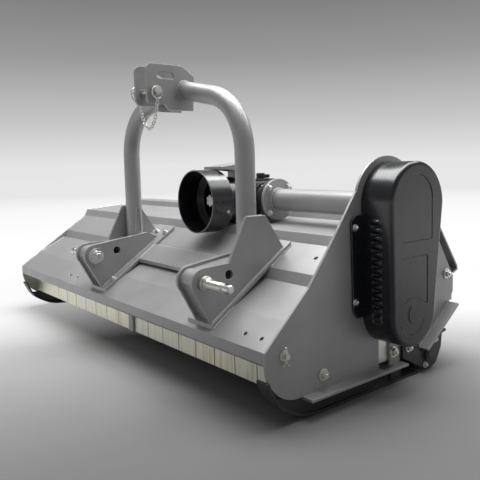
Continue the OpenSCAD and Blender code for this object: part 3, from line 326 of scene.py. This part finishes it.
# Mesh building
class Shape:
    """Vertices and faces in machine millimetres."""

    def __init__(self):
        self.points, self.faces = [], []

    def grid(self, rows, closed_rows=False, closed_cols=False):
        """Joins rows of points, all as long, with quads."""
        start, count = len(self.points), len(rows[0])
        for row in rows:
            self.points.extend(Vector(p) for p in row)
        last_row = len(rows) if closed_rows else len(rows) - 1
        last_col = count if closed_cols else count - 1
        for i in range(last_row):
            for j in range(last_col):
                a, b = start + i * count, start + (i + 1) % len(rows) * count
                k = (j + 1) % count
                self.faces.append((a + j, a + k, b + k, b + j))

    def fan(self, ring, flip=False):
        start = len(self.points)
        self.points.extend(Vector(p) for p in ring)
        order = range(start, start + len(ring))
        self.faces.append(tuple(reversed(order)) if flip else tuple(order))

    def lathe(self, profile, at, axis=(1, 0, 0), steps=40):
        """Turns (radius, distance along axis) pairs round the axis through at."""
        axis = Vector(axis).normalized()
        side = axis.orthogonal().normalized()
        other = axis.cross(side)
        rows = []
        for radius, along in profile:
            rows.append([Vector(at) + axis * along + (side * math.cos(a) + other * math.sin(a)) * radius
                         for a in (2 * math.pi * k / steps for k in range(steps))])
        self.grid(rows, closed_cols=True)
        if profile[0][0] > 1e-6:
            self.fan(rows[0], True)
        if profile[-1][0] > 1e-6:
            self.fan(rows[-1])

    def hexagon(self, at, axis, flats, height, turn=0.0, steps=24):
        """Hexagon head or nut with chamfered corners, flats is half the width over flats."""
        axis = Vector(axis).normalized()
        side = axis.orthogonal().normalized()
        other = axis.cross(side)

        def ring(radius_of, along_of):
            points = []
            for k in range(steps):
                a = 2 * math.pi * k / steps
                r = flats / math.cos((a + math.pi / 6) % (math.pi / 3) - math.pi / 6)
                points.append(Vector(at) + axis * along_of(r)
                              + (side * math.cos(a + turn) + other * math.sin(a + turn)) * radius_of(r))
            return points
        rows = [
            ring(lambda r: r, lambda r: 0),
            ring(lambda r: r, lambda r: height - 0.15 * height - (r - flats) * 0.7),
            ring(lambda r: min(r, flats * 1.03), lambda r: height - 0.06 * height),
            ring(lambda r: flats * 0.93, lambda r: height),
        ]
        self.grid(rows, closed_cols=True)
        self.fan(rows[0], True)
        self.fan(rows[-1])

    def sweep(self, path, radius, steps=10, closed=False, radii=None):
        """Round tube along a path."""
        path = [Vector(p) for p in path]
        count = len(path)
        rows, normal = [], None
        for i, p in enumerate(path):
            ahead = path[(i + 1) % count] if closed or i + 1 < count else p
            behind = path[i - 1] if closed or i else p
            along = (ahead - behind).normalized()
            if normal is None:
                normal = along.orthogonal().normalized()
            normal = (normal - along * normal.dot(along)).normalized()
            other = along.cross(normal)
            r = radii[i] if radii else radius
            rows.append([p + (normal * math.cos(a) + other * math.sin(a)) * r
                         for a in (2 * math.pi * k / steps for k in range(steps))])
        self.grid(rows, closed_rows=closed, closed_cols=True)
        if not closed:
            self.fan(rows[0], True)
            self.fan(rows[-1])

    def slab(self, outline, x0, x1, chamfer=0.0):
        """Extrudes a convex or plain (y, z) outline along X, its edges chamfered."""
        inner = inset(outline, chamfer)
        rows = [[(x, y, z) for y, z in points] for x, points in (
            (x0, inner), (x0 + chamfer, outline), (x1 - chamfer, outline), (x1, inner))]
        self.grid(rows, closed_cols=True)
        self.fan(rows[0], True)
        self.fan(rows[-1])


def inset(outline, distance):
    """The (y, z) outline moved inwards by distance, for outlines that run anticlockwise."""
    if not distance:
        return list(outline)
    moved, count = [], len(outline)
    for i in range(count):
        p, a, b = (Vector(outline[k % count]) for k in (i, i - 1, i + 1))
        d1, d2 = (p - a).normalized(), (b - p).normalized()
        n1, n2 = Vector((-d1.y, d1.x)), Vector((-d2.y, d2.x))
        n = (n1 + n2).normalized()
        moved.append(tuple(p + n * distance / max(0.3, n.dot(n1))))
    return moved


def piece(name, shape, slot, replaces=(), sharp=32):
    """Makes the shape an object that rides on the frame and takes a material slot's finish."""
    mesh = bpy.data.meshes.new(name)
    mesh.from_pydata([to_row(p) for p in shape.points], [], shape.faces)
    mesh.validate()
    mesh.update()
    for polygon in mesh.polygons:
        polygon.use_smooth = True
    mesh.set_sharp_from_angle(angle=math.radians(sharp))
    mesh.materials.append(SLOTS[slot])
    obj = bpy.data.objects.new(name, mesh)
    bpy.context.scene.collection.objects.link(obj)
    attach(obj, "frame")
    if replaces:
        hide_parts(*replaces)


# Bolts
def bolt(shape, at, axis, size, turn=0.0):
    """Washer, nut and thread end on a face; size is the bolt's radius."""
    at, axis = Vector(at), Vector(axis).normalized()
    washer_r, washer_t, nut_h, flats = size * 1.75, size * 0.35, size * 0.95, size * 1.0
    shape.lathe([(size * 0.9, 0), (washer_r - 0.4, 0), (washer_r, 0.4), (washer_r, washer_t - 0.5),
                 (washer_r - 0.5, washer_t), (size * 0.8, washer_t)], at, axis, 32)
    shape.hexagon(at + axis * washer_t, axis, flats * 1.12, nut_h, turn)
    stub, top = size * 0.62, washer_t + nut_h
    profile, pitch, reach = [(stub, top - 0.3)], size * 0.16, size * 0.55
    for k in range(max(1, int(reach / pitch))):
        profile += [(stub, top + (k + 0.15) * pitch), (stub * 0.88, top + (k + 0.6) * pitch)]
    profile += [(stub * 0.80, top + reach), (0.0, top + reach)]
    shape.lathe(profile, at, axis, 24)


def make_fasteners():
    shape = Shape()
    up = (0, -math.sin(math.radians(RAMP_ANGLE)), math.cos(math.radians(RAMP_ANGLE)))
    for s in (-1, 1):
        out = (s, 0, 0)
        face = s * (HALF_OUT + SEAT)
        for i, (y, z) in enumerate(PLATE_BOLTS):
            bolt(shape, (face, y, z), out, 8, 0.3 + i)
        arm_face = s * (ARM_X + ARM_T + SEAT)
        for i, (y, z, size) in enumerate(ARM_BOLTS):
            bolt(shape, (arm_face, y, z), out, size, 0.2 + i)
        for i, dx in enumerate((BAR_IN + 12, BAR_IN + 62)):
            for j, y in enumerate((44, 230)):
                bolt(shape, (HITCH_X + s * dx, y, ramp(y) + BAR_T + 1.3 * SEAT), up, 5.5, 0.4 * i + j)
    for k in range(4):
        a = math.radians(45 + 90 * k)
        y, z = DRIVE_Y + FLANGE_BOLT_C * math.cos(a), DRIVE_Z + FLANGE_BOLT_C * math.sin(a)
        bolt(shape, (FLANGE_X + 9 + SEAT, y, z), (1, 0, 0), 5, k)
        shape.lathe([(5, 0), (5, 28)], (FLANGE_X - 19, y, z), (1, 0, 0), 20)
        shape.hexagon((FLANGE_X - 20, y, z), (1, 0, 0), 7.6, 5.5, k)
    for z in STRAP_BOLT_Z:
        bolt(shape, (HALF_OUT + STRAP_T + 2 * SEAT, STRAP_BOLT_Y, z), (1, 0, 0), 5, 0.5)
    piece("bolts_and_nuts", shape, "zinc", replaces=("fasteners",))


make_fasteners()


# Belt cover
def cover_line(count):
    """Points and outward normals of the belt cover's outline, anticlockwise in (y, z)."""
    top = Vector((DRIVE_Y + COVER_OFF, DRIVE_Z + COVER_OFF))
    low = Vector((ROTOR_Y + COVER_OFF, ROTOR_Z))
    axis = (top - low).normalized()
    # The normals at the tangent points lean off the axis by this angle, and both circles share them
    lean = math.acos((COVER_R1 - COVER_R2) / (top - low).length)
    base = math.atan2(axis.y, axis.x)
    arcs = []
    steps = count // 4
    for k in range(steps + 1):
        a = base - lean + 2 * lean * k / steps
        arcs.append((top + COVER_R1 * Vector((math.cos(a), math.sin(a))), a))
    for k in range(1, count):
        t = k / count
        a = base + lean
        n = Vector((math.cos(a), math.sin(a)))
        arcs.append(((top + COVER_R1 * n).lerp(low + COVER_R2 * n, t), a))
    for k in range(steps + 1):
        a = base + lean + (2 * math.pi - 2 * lean) * k / steps
        arcs.append((low + COVER_R2 * Vector((math.cos(a), math.sin(a))), a))
    for k in range(1, count // 3):
        t = k / (count // 3)
        a = base - lean
        n = Vector((math.cos(a), math.sin(a)))
        arcs.append(((low + COVER_R2 * n).lerp(top + COVER_R1 * n, t), a))
    return [(p, Vector((math.cos(a), math.sin(a)))) for p, a in arcs]


def louvre(y, z, x):
    """Outward bulge of the vent louvres on the cover's front wall, each over a groove."""
    first, pitch, rows = 424.0, 18.4, 13
    x0, x1 = HALF_OUT + 28, HALF_OUT + 56
    rise, depth, bulge_share = 4.2, 3.0, 0.6
    if y > ROTOR_Y - 60 or not x0 < x < x1:
        return 0.0
    k = (first - z) / pitch
    if not 0 <= k < rows:
        return 0.0
    across = 1 - abs((x - (x0 + x1) / 2) / ((x1 - x0) / 2)) ** 3
    share = k % 1.0
    if share < bulge_share:
        return math.sin(math.pi * share / bulge_share) * rise * across
    return -math.sin(math.pi * (share - bulge_share) / (1 - bulge_share)) * depth * across


def arch_panel(centre, half, bottom, radius, steps=24):
    """(y, z) outline with a round top and small round bottom corners, anticlockwise."""
    cy, cz = centre
    points = [(cy + half * math.cos(a), cz + half * math.sin(a))
              for a in (math.pi * k / steps for k in range(steps + 1))]
    for corner_y, start in ((cy - half + radius, math.pi), (cy + half - radius, 1.5 * math.pi)):
        points += [(corner_y + radius * math.cos(start + math.pi / 2 * k / 6),
                    bottom + radius + radius * math.sin(start + math.pi / 2 * k / 6)) for k in range(7)]
    return points


def wavy_panel():
    """(y, z) outline of the lower pressed panel, whose bottom edge arches over the boss."""
    left, right, top, low, r = 329.0, 431.0, 337.0, 232.0, 7.0
    points = []
    for corner_y, start in ((right - r, 0.0), (left + r, math.pi / 2)):
        points += [(corner_y + r * math.cos(a), top - r + r * math.sin(a))
                   for a in (start + math.pi / 12 * k for k in range(7))]
    for k in range(41):
        t = k / 40
        points.append((left + (right - left) * t, low - 12 * t + 15 * math.sin(math.pi * t) ** 2))
    return points


def crescent():
    """(y, z) outline of the arc pressed below the boss."""
    centre, r0, r1 = (372.0, 204.0), 46.0, 50.0
    a0, a1 = math.radians(205), math.radians(338)
    arc = [a0 + (a1 - a0) * k / 30 for k in range(31)]
    outer = [(centre[0] + r1 * math.cos(a), centre[1] + r1 * math.sin(a)) for a in arc]
    inner = [(centre[0] + r0 * math.cos(a), centre[1] + r0 * math.sin(a)) for a in arc[::-1]]
    return outer + inner


def oval(cy, cz, ry, rz, steps=32):
    return [(cy + ry * math.cos(2 * math.pi * k / steps), cz + rz * math.sin(2 * math.pi * k / steps))
            for k in range(steps)]


def face_with_panels(shape, x, rim, panels):
    """Flat face at x inside rim, with each (outline, depth, slope) pressed in or, if negative, out."""
    loops = [rim] + [outline for outline, _, _ in panels]
    points = [Vector((p[0], p[1], 0)) for loop in loops for p in loop]
    triangles = geometry.tessellate_polygon([[Vector((p[0], p[1], 0)) for p in loop] for loop in loops])
    start = len(shape.points)
    shape.points.extend(Vector((x, p.x, p.y)) for p in points)
    for tri in triangles:
        a, b, c = (points[i] for i in tri)
        turn = (b - a).cross(c - a).z
        shape.faces.append(tuple(start + i for i in (tri if turn > 0 else tri[::-1])))
    for outline, depth, slope in panels:
        bottom = inset(outline, slope)
        mid = inset(outline, slope * 0.5)
        rows = [[(x - depth * share, *p) for p in loop]
                for share, loop in ((0.0, outline), (0.5, mid), (1.0, bottom))]
        shape.grid(rows[::-1], closed_cols=True)
        shape.fan(rows[-1])


def make_belt_cover():
    x0, edge = HALF_OUT + SEAT, 9.0
    line = cover_line(200)
    shape = Shape()
    stations = [x0, x0 + 2, x0 + 8, x0 + 14] + [HALF_OUT + 26 + 2 * k for k in range(17)]
    stations += [COVER_OUT - edge - 2]
    rows = [[(x, *(p + n * louvre(p.x, p.y, x))) for p, n in line] for x in stations]
    for k in range(1, 9):
        a = math.pi / 2 * k / 8
        grow, x = -edge * (1 - math.cos(a)), COVER_OUT - edge + edge * math.sin(a)
        rows.append([(x - 1.5, *(p + n * grow)) for p, n in line])
    rim_grow = -edge - 1.0
    rim = [tuple(p + n * rim_grow) for p, n in line]
    rows.append([(COVER_OUT - 1.5, *p) for p in rim])
    shape.grid(rows[::-1], closed_cols=True)
    panels = [
        (arch_panel((390, 466), 59, 370, 6), 1.8, 2.2),
        (wavy_panel(), 1.8, 2.2),
        (oval(368, 204, 14, 22), -2.2, 3.0),
        (crescent(), 0.8, 1.6),
    ]
    face_with_panels(shape, COVER_OUT - 1.5, rim, panels)
    # Inner wall, so that the shell has thickness where it meets the plate
    wall = [[(x, *(p - n * 3)) for p, n in line] for x in (x0, COVER_OUT - 14)]
    shape.grid(wall, closed_cols=True)
    shape.grid([[(x0, *(p - n * g)) for p, n in line] for g in (0, 3)], closed_cols=True)
    piece("belt_cover_shell", shape, "black", replaces=("belt_cover",), sharp=40)


def make_cover_strap():
    """Base strap at the cover's front, that carries its two bolts."""
    outline = [(270, 434), (256, 420), (262, 212), (274, 196), (302, 196), (298, 434)]
    shape = Shape()
    shape.slab(outline, HALF_OUT + SEAT, HALF_OUT + SEAT + STRAP_T, 0.8)
    piece("belt_cover_strap", shape, "black")


make_belt_cover()
make_cover_strap()


# Welds
def weld(shape, path, radius, closed=False):
    """Bead of overlapping scales along a path."""
    ripple = 2.6                         # length of one scale
    path = [Vector(p) for p in path]
    if closed:
        path.append(path[0])
    dense, radii, travelled = [], [], 0.0
    for a, b in zip(path, path[1:]):
        span = (b - a).length
        steps = max(1, int(span / (ripple / 3)))
        for k in range(steps):
            travelled += span / steps
            share = (travelled / ripple) % 1.0
            dense.append(a.lerp(b, k / steps))
            scale = 0.22 * math.sin(math.pi * share)
            drift = 0.06 * math.sin(travelled * 0.37)
            radii.append(radius * (0.86 + scale + drift))
    if closed:
        shape.sweep(dense, radius, 7, True, radii)
        return
    dense.append(path[-1])
    radii.append(radius * 0.6)
    radii[0] = radius * 0.6
    shape.sweep(dense, radius, 7, False, radii)


def circle_x(x, y, z, radius, steps=36):
    return [(x, y + radius * math.cos(a), z + radius * math.sin(a))
            for a in (2 * math.pi * k / steps for k in range(steps))]


def tube_height(dx):
    """Height of the frame tube's axis on its upper run, dx from the hitch's centre."""
    turn = math.radians(BEND_ANGLE)
    end_x = TUBE_X - BEND_R * (1 - math.cos(turn))
    return BEND_Z + BEND_R * math.sin(turn) + (end_x - dx) / math.tan(turn)


def make_welds():
    shape = Shape()
    for s in (-1, 1):
        # Bracket plates on their base bar
        for dx, y1 in ((BRACKET_OUT, 236), (BRACKET_OUT - 8, 236),
                       (BRACKET_IN, 212), (BRACKET_IN + 8, 212)):
            weld(shape, [(HITCH_X + s * dx, y, ramp(y) + BAR_T) for y in (14, y1)], 2.4)
        # Base bar on the deck
        weld(shape, [(HITCH_X + s * BAR_OUT, y, ramp(y)) for y in (12, 72)], 2.2)
        weld(shape, [(HITCH_X + s * BAR_OUT, y, ramp(y)) for y in (190, 256)], 2.2)
        # Frame tube on both bracket plates
        for dx in (BRACKET_IN + 8, BRACKET_OUT - 8):
            weld(shape, [(HITCH_X + s * dx, TUBE_Y - 10, 352), (HITCH_X + s * dx, TUBE_Y - 6, 428)], 1.8)
            weld(shape, [(HITCH_X + s * dx, TUBE_Y + 10, 350), (HITCH_X + s * dx, TUBE_Y + 6, 428)], 1.8)
        weld(shape, [(HITCH_X + s * (BRACKET_OUT - 4 - 4 * math.cos(a)), TUBE_Y + 24 * math.sin(a), 430)
                     for a in (math.pi * (k / 12 - 0.5) for k in range(13))], 1.8)
        # Cross member on the bar
        weld(shape, [(HITCH_X + s * (BAR_IN - SEAT), y, ramp(y) + BAR_T) for y in (128, 182)], 2.0)
        # Frame tube on the top link plate
        weld(shape, circle_x(HITCH_X + s * (TOP_OUT + 0.6), TUBE_Y, tube_height(TOP_OUT), TUBE_R + 0.8),
             2.0, True)
    # Cross tube on its flange and on the side plate's ring
    weld(shape, circle_x(FLANGE_X + 9.5, DRIVE_Y, DRIVE_Z, CROSS_R + 1), 2.6, True)
    weld(shape, circle_x(HALF_IN - 8.5, DRIVE_Y, DRIVE_Z, CROSS_R + 1), 2.6, True)
    # Deck sheet between the side plates, in stitches
    line = [(30, ramp(30)), (72, ramp(72)), (176, ramp(176) - 18), (188, ramp(188)),
            (268, ramp(268)), (280, 380), (470, 392)]
    for s in (-1, 1):
        for (y0, z0), (y1, z1) in zip(line, line[1:]):
            if y1 - y0 > 30:
                weld(shape, [(s * (HALF_IN - 0.8), y0 + 6, z0 + (z1 - z0) * 6 / (y1 - y0)),
                             (s * (HALF_IN - 0.8), y1 - 6, z1 - (z1 - z0) * 6 / (y1 - y0))], 2.0)
    piece("weld_beads", shape, "paint", sharp=60)


make_welds()


# Hitch details
def make_lower_pins():
    """Lower link pins with thread, nut, washers, barrel, neck and drilled tip, whose linch holes are painted
    shade.
    """
    shape = Shape()
    face = BRACKET_OUT
    for s in (-1, 1):
        at = (HITCH_X, LOWER_PIN_Y, LOWER_PIN_Z)
        r = LOWER_PIN_R
        profile = [(r - 1.8, BRACKET_IN - 24), (r - 0.6, BRACKET_IN - 23)]
        for k in range(2):
            profile += [(r, BRACKET_IN - 22.4 + k * 1.2), (r - 1.0, BRACKET_IN - 21.8 + k * 1.2)]
        profile += [(r, BRACKET_IN - 19.5), (r, face + 8), (r + 4.5, face + 9), (r + 4.5, face + 17),
                    (r + 2.0, face + 19), (r + 0.6, face + 21), (r, face + 23), (r, face + 72),
                    (r - 0.4, face + 73), (r - 2.6, face + 74), (r - 2.6, face + 78),
                    (r - 1.2, face + 79.5), (r - 1.2, face + 97), (r - 3.4, face + 100), (0, face + 100)]
        shape.lathe([(0, profile[0][1])] + profile, at, (s, 0, 0), 44)
        shape.lathe([(r, face + SEAT), (16.5, face + SEAT), (17.5, face + 1), (17.5, face + 8),
                     (16.5, face + 9), (r, face + 9)], at, (s, 0, 0), 44)
        shape.lathe([(r, BRACKET_IN - 4), (22, BRACKET_IN - 4), (23, BRACKET_IN - 3.4), (23, BRACKET_IN - 1),
                     (22, BRACKET_IN - SEAT), (r, BRACKET_IN - SEAT)], at, (s, 0, 0), 44)
        shape.hexagon((HITCH_X + s * (BRACKET_IN - 4), LOWER_PIN_Y, LOWER_PIN_Z), (-s, 0, 0), 17, 16, 0.4)
    piece("lower_pins", shape, "zinc", replaces=("lower_link_pins",))
    # The linch holes near the tips, as dark discs of painted shade in place of drilled holes
    hole_shade = Shape()
    for s in (-1, 1):
        x = HITCH_X + s * (face + 87)
        for up in (-1, 1):
            hole_shade.lathe([(0, 0), (4.6, 0), (5.2, 0.3)], (x, LOWER_PIN_Y, LOWER_PIN_Z + up * 9.6),
                        (0, 0, up), 24)
    piece("linch_hole_shade", hole_shade, "castblack")


def make_chain():
    """Oval links along the hanging chain, with a ring at each end."""
    shape = Shape()
    ring_wire, neck_ring_r = 1.6, 15.0
    ring_low = TOP_PIN_Z + 7 + SEAT + ring_wire - 2 * neck_ring_r
    end_ring_r = (TOP_PIN_Z + 9.5 + SEAT + ring_wire - ring_low) / 2
    neck_x, end_x = TOP_OUT + 14, -TOP_OUT - 13
    # The chain hangs as a catenary with parameter c, and reach is half its length
    mid, c = (neck_x + end_x) / 2, 0.4716 * (neck_x - end_x) / 2
    reach = 4.107 * c
    count, wire = 20, 1.2
    half_link = reach / count + wire + 0.2
    top = ring_low + ring_wire + SEAT - half_link + wire
    low = top - math.hypot(c, reach) + c
    for i in range(count + 1):
        s = reach * (2 * i / count - 1)
        at = Vector((HITCH_X + mid + c * math.asinh(s / c), TOP_PIN_Y, low + math.hypot(c, s) - c))
        along = Vector((c, 0, s)).normalized()
        side = Vector((0, 1, 0)) if i % 2 else along.cross(Vector((0, 1, 0)))
        bend = half_link * 0.66
        straight = half_link - bend
        loop = []
        for end in (1, -1):
            for k in range(9):
                a = math.pi * (k / 8 - 0.5)
                loop.append(at + along * end * (straight + bend * math.cos(a))
                            + side * end * bend * math.sin(a))
        shape.sweep(loop, wire, 8, True)
    for x, r in ((neck_x, neck_ring_r), (end_x, end_ring_r)):
        shape.sweep(circle_x(HITCH_X + x, TOP_PIN_Y, ring_low + r, r), ring_wire, 8, True)
    piece("retaining_chain", shape, "zinc", replaces=("pin_chain",))


def make_split_pins():
    """Bent legs and eyes of the split pins in the flap rod and hood rod ends."""
    shape = Shape()
    for s in (-1, 1):
        for y, z, r in ((FLAP_ROD_Y, FLAP_ROD_Z, FLAP_ROD_R), (HOOD_ROD_Y, HOOD_ROD_Z, HOOD_ROD_R)):
            x = s * (HALF_OUT + 8)
            eye = [(x, y + 3.2 * math.cos(a), z + 2 * r + 3.2 + 3.2 * math.sin(a))
                   for a in (math.pi * k / 8 for k in range(16))]
            shape.sweep(eye, 1.3, 8, True)
            for side in (-1, 1):
                foot = z - 2 * r
                leg = [(x + side * dx, y + side * dy, foot + dz) for dx, dy, dz in (
                    (0.7, 0.0, 1), (1.6, 1.5, -4), (3.4, 4, -8), (4.4, 8, -9))]
                shape.sweep(leg, 1.2, 8)
    piece("split_pins", shape, "zinc")


make_lower_pins()
make_chain()
make_split_pins()


# Gearbox details
def make_gearbox_trim():
    """Cast ribs on the gearbox's sides, the output's ring and the cap on the other side."""
    shape = Shape()
    half = BOX_W / 2
    for z in (-30, 0, 30):
        for s in (-1, 1):
            x = GEARBOX_X + s * half
            outline = [(GEARBOX_Y0 + 8, DRIVE_Z + z - 2.5), (GEARBOX_Y1 - 6, DRIVE_Z + z - 2.5),
                       (GEARBOX_Y1 - 6, DRIVE_Z + z + 2.5), (GEARBOX_Y0 + 8, DRIVE_Z + z + 2.5)]
            if s > 0 and z == 0:
                continue
            shape.slab(outline, *sorted((x - s * 2, x + s * 5)), 1.2)
    shape.lathe([(42, 0), (48, 0), (50, 2), (50, 8), (47, 10), (42, 10)],
                (GEARBOX_X + half - 1, DRIVE_Y, DRIVE_Z), (1, 0, 0), 48)
    shape.lathe([(30, 0), (34, 0), (36, 1.5), (36, 5), (33, 7), (12, 7), (10, 5), (0, 5)],
                (GEARBOX_X - half - 8, DRIVE_Y, DRIVE_Z), (-1, 0, 0), 48)
    piece("gearbox_ribs", shape, "castblack", sharp=40)


def make_gearbox_bolts():
    shape = Shape()
    half = BOX_W / 2
    for k in range(6):
        a = math.radians(60 * k + 30)
        at = (GEARBOX_X - half - 15, DRIVE_Y + 24 * math.cos(a), DRIVE_Z + 24 * math.sin(a))
        shape.hexagon(at, (-1, 0, 0), 4, 3.5, a)
    for s in (-1, 1):
        for t in (-1, 1):
            at = (GEARBOX_X + s * (half - 12), GEARBOX_Y1 + 12.2, DRIVE_Z + t * (BOX_H / 2 - 12))
            shape.lathe([(0, 0), (3.6, 0), (3.2, 3), (0, 3)], at, (0, 1, 0), 20)
    # Bolts on the guard's neck and on the bracket that carries it
    for k in range(4):
        a = math.radians(90 * k + 20)
        at = (HITCH_X + (NECK_R - 1) * math.cos(a), 318, DRIVE_Z + (NECK_R - 1) * math.sin(a))
        bolt(shape, at, (math.cos(a), 0, math.sin(a)), 3.2, k)
    for x in (-30, 30):
        bolt(shape, (HITCH_X + x, 356, BOX_TOP + 4.6), (0, 0, 1), 3.6, 0.2)
    piece("gearbox_bolts", shape, "zinc")


def make_oil_plugs():
    """Filler with its fluted cap, and the breather with a zinc foot."""
    plug_y = GEARBOX_Y0 + 88
    filler = Vector((GEARBOX_X + 14, plug_y, BOX_TOP))
    breather = Vector((GEARBOX_X + 43, plug_y, BOX_TOP))
    cap = Shape()
    rows = []
    for r, h, flute in ((12.2, 0.5, 0), (13.0, 1.5, 0.5), (13.0, 14.5, 0.5), (12.0, 16.6, 0), (8, 17.0, 0)):
        rows.append([filler + Vector(((r + flute * math.cos(12 * a)) * math.cos(a),
                                      (r + flute * math.cos(12 * a)) * math.sin(a), h))
                     for a in (2 * math.pi * k / 96 for k in range(96))])
    cap.grid(rows, closed_cols=True)
    cap.fan(rows[-1])
    cap.fan(rows[0], True)
    cap.lathe([(0, 3.5), (7.5, 3.5), (9, 5), (9, 10.5), (7.6, 13), (4, 13.5), (0, 13.5)],
              breather, (0, 0, 1), 32)
    piece("oil_caps", cap, "castblack", replaces=("oil_plugs",))
    foot = Shape()
    foot.hexagon(breather + Vector((0, 0, SEAT)), (0, 0, 1), 6.6, 3.6)
    foot.hexagon(filler + Vector((0, 0, SEAT)), (0, 0, 1), 11.0, 2.0)
    for at, r in ((filler, 8.0), (breather, 6.0)):
        foot.lathe([(r, -12), (r, 1)], at, (0, 0, 1), 24)
    piece("oil_plug_feet", foot, "zinc")


def make_drum_trim():
    """Rolled lip, joint ring and latch of the input guard."""
    shape = Shape()
    at = (HITCH_X, 0, DRIVE_Z)
    rim_y, rim_r = DRUM_Y0 + 1.5, DRUM_R - 0.8
    ring = [(HITCH_X + rim_r * math.cos(a), rim_y, DRIVE_Z + rim_r * math.sin(a))
            for a in (2 * math.pi * k / 96 for k in range(96))]
    shape.sweep(ring, 1.1, 8, True)
    shape.lathe([(NECK_R - 0.5, 300), (NECK_R + 2.0, 300.5), (NECK_R + 2.0, 313.5), (NECK_R - 0.5, 314)],
                at, (0, 1, 0), 96)
    piece("guard_rims", shape, "black", sharp=50)
    latch = Shape()
    a = math.radians(-18)
    hub = Vector((HITCH_X + DRUM_R * math.cos(a), 244, DRIVE_Z + DRUM_R * math.sin(a)))
    bolt(latch, hub, (math.cos(a), 0, math.sin(a)), 3.0, 0.3)
    piece("guard_latch", latch, "zinc")


make_gearbox_trim()
make_gearbox_bolts()
make_oil_plugs()
make_drum_trim()


# Stage and light
def seen_or_mirrored(n):
    """1 for camera, mirror and glass rays, which see the backdrop's own tone."""
    path = n.add("ShaderNodeLightPath").outputs
    either = n.add("ShaderNodeMath", {0: path["Is Camera Ray"], 1: path["Is Glossy Ray"]},
                   operation="MAXIMUM").outputs[0]
    return n.add("ShaderNodeMath", {0: either, 1: path["Is Transmission Ray"]},
                 operation="MAXIMUM").outputs[0]


def make_floor():
    """Studio paper with painted shade and light: mid grey in front, paler to the rear, and far off glowing
    as bright as the backdrop.
    """
    size = 30.0
    mesh = bpy.data.meshes.new("floor")
    corners = [(-size, -size, 0), (size, -size, 0), (size, size, 0), (-size, size, 0)]
    mesh.from_pydata(corners, [], [(0, 1, 2, 3)])
    made, n, shader = new_material("floor_paper")
    foot = to_row(CAMERA_AT)
    reach = n.add("ShaderNodeVectorMath", {0: n.place(), 1: (foot.x, foot.y, 0)},
                  operation="DISTANCE").outputs["Value"]
    # Painted shade: the paper's colour darkens towards the camera's foot and pales with distance from it
    tone = n.colours(n.ramp(reach, 0.9, 2.9), (0.0, (0.115, 0.115, 0.115)), (0.11, (0.15, 0.15, 0.15)),
                     (0.20, (0.19, 0.19, 0.19)), (0.49, (0.34, 0.34, 0.34)), (0.70, (0.54, 0.54, 0.54)))
    finish_material(made, shader, tone, 0.85)
    far = n.colours(n.ramp(reach, 2.9, 12.0), (0.0, (1.0, 1.0, 1.0)), (0.20, (1.0, 1.0, 1.0)),
                    (0.60, (0.93, 0.93, 0.93)), (1.0, (0.80, 0.80, 0.80)))
    glow = n.add("ShaderNodeEmission", {"Color": far, "Strength": 1.0})
    share = n.add("ShaderNodeMath", {0: n.ramp(reach, 1.9, 3.3), 1: seen_or_mirrored(n)},
                  operation="MULTIPLY").outputs[0]
    both = n.add("ShaderNodeMixShader", {0: share, 1: shader.outputs[0], 2: glow.outputs[0]})
    out = next(node for node in made.node_tree.nodes if node.type == "OUTPUT_MATERIAL")
    made.node_tree.links.new(both.outputs[0], out.inputs[0])
    mesh.materials.append(made)
    floor = bpy.data.objects.new("floor", mesh)
    bpy.context.scene.collection.objects.link(floor)


def make_world():
    """Backdrop that darkens upwards for the camera, and plain soft light for the object."""
    world = bpy.data.worlds.new("studio")
    bpy.context.scene.world = world
    world.use_nodes = True
    world.node_tree.nodes.clear()
    n = Nodes(world.node_tree)
    up = n.add("ShaderNodeTexCoord").outputs["Generated"]
    height = n.add("ShaderNodeSeparateXYZ", {0: up}).outputs["Z"]
    shown = n.colours(n.ramp(height, 0.0, 0.40), (0.0, (0.79, 0.79, 0.79)), (0.18, (0.56, 0.56, 0.56)),
                      (0.43, (0.32, 0.32, 0.32)), (0.64, (0.22, 0.22, 0.22)))
    lit = n.colours(n.ramp(height, -0.1, 1.0), (0.0, (0.12, 0.12, 0.12)), (0.15, (0.20, 0.20, 0.20)),
                    (0.45, (0.28, 0.28, 0.28)), (1.0, (0.45, 0.45, 0.45)))
    colour = n.mix(seen_or_mirrored(n), lit, shown)
    back = n.add("ShaderNodeBackground", {"Color": colour, "Strength": 1.0})
    out = n.add("ShaderNodeOutputWorld")
    world.node_tree.links.new(back.outputs[0], out.inputs[0])


def area_light(name, at, target, size, power):
    data = bpy.data.lights.new(name, "AREA")
    data.shape = "RECTANGLE"
    data.size, data.size_y = size
    data.energy = power
    obj = bpy.data.objects.new(name, data)
    obj.location = at
    obj.rotation_euler = (Vector(target) - Vector(at)).to_track_quat("-Z", "Y").to_euler()
    bpy.context.scene.collection.objects.link(obj)


make_floor()
make_world()
area_light("overhead", (-0.2, 0.2, 3.0), (0, 0, 0.3), (3.0, 2.2), 165)
area_light("back", (0.6, 2.3, 2.8), (0, 0, 0.4), (2.8, 1.2), 36)

bpy.context.scene.view_settings.view_transform = "Standard"
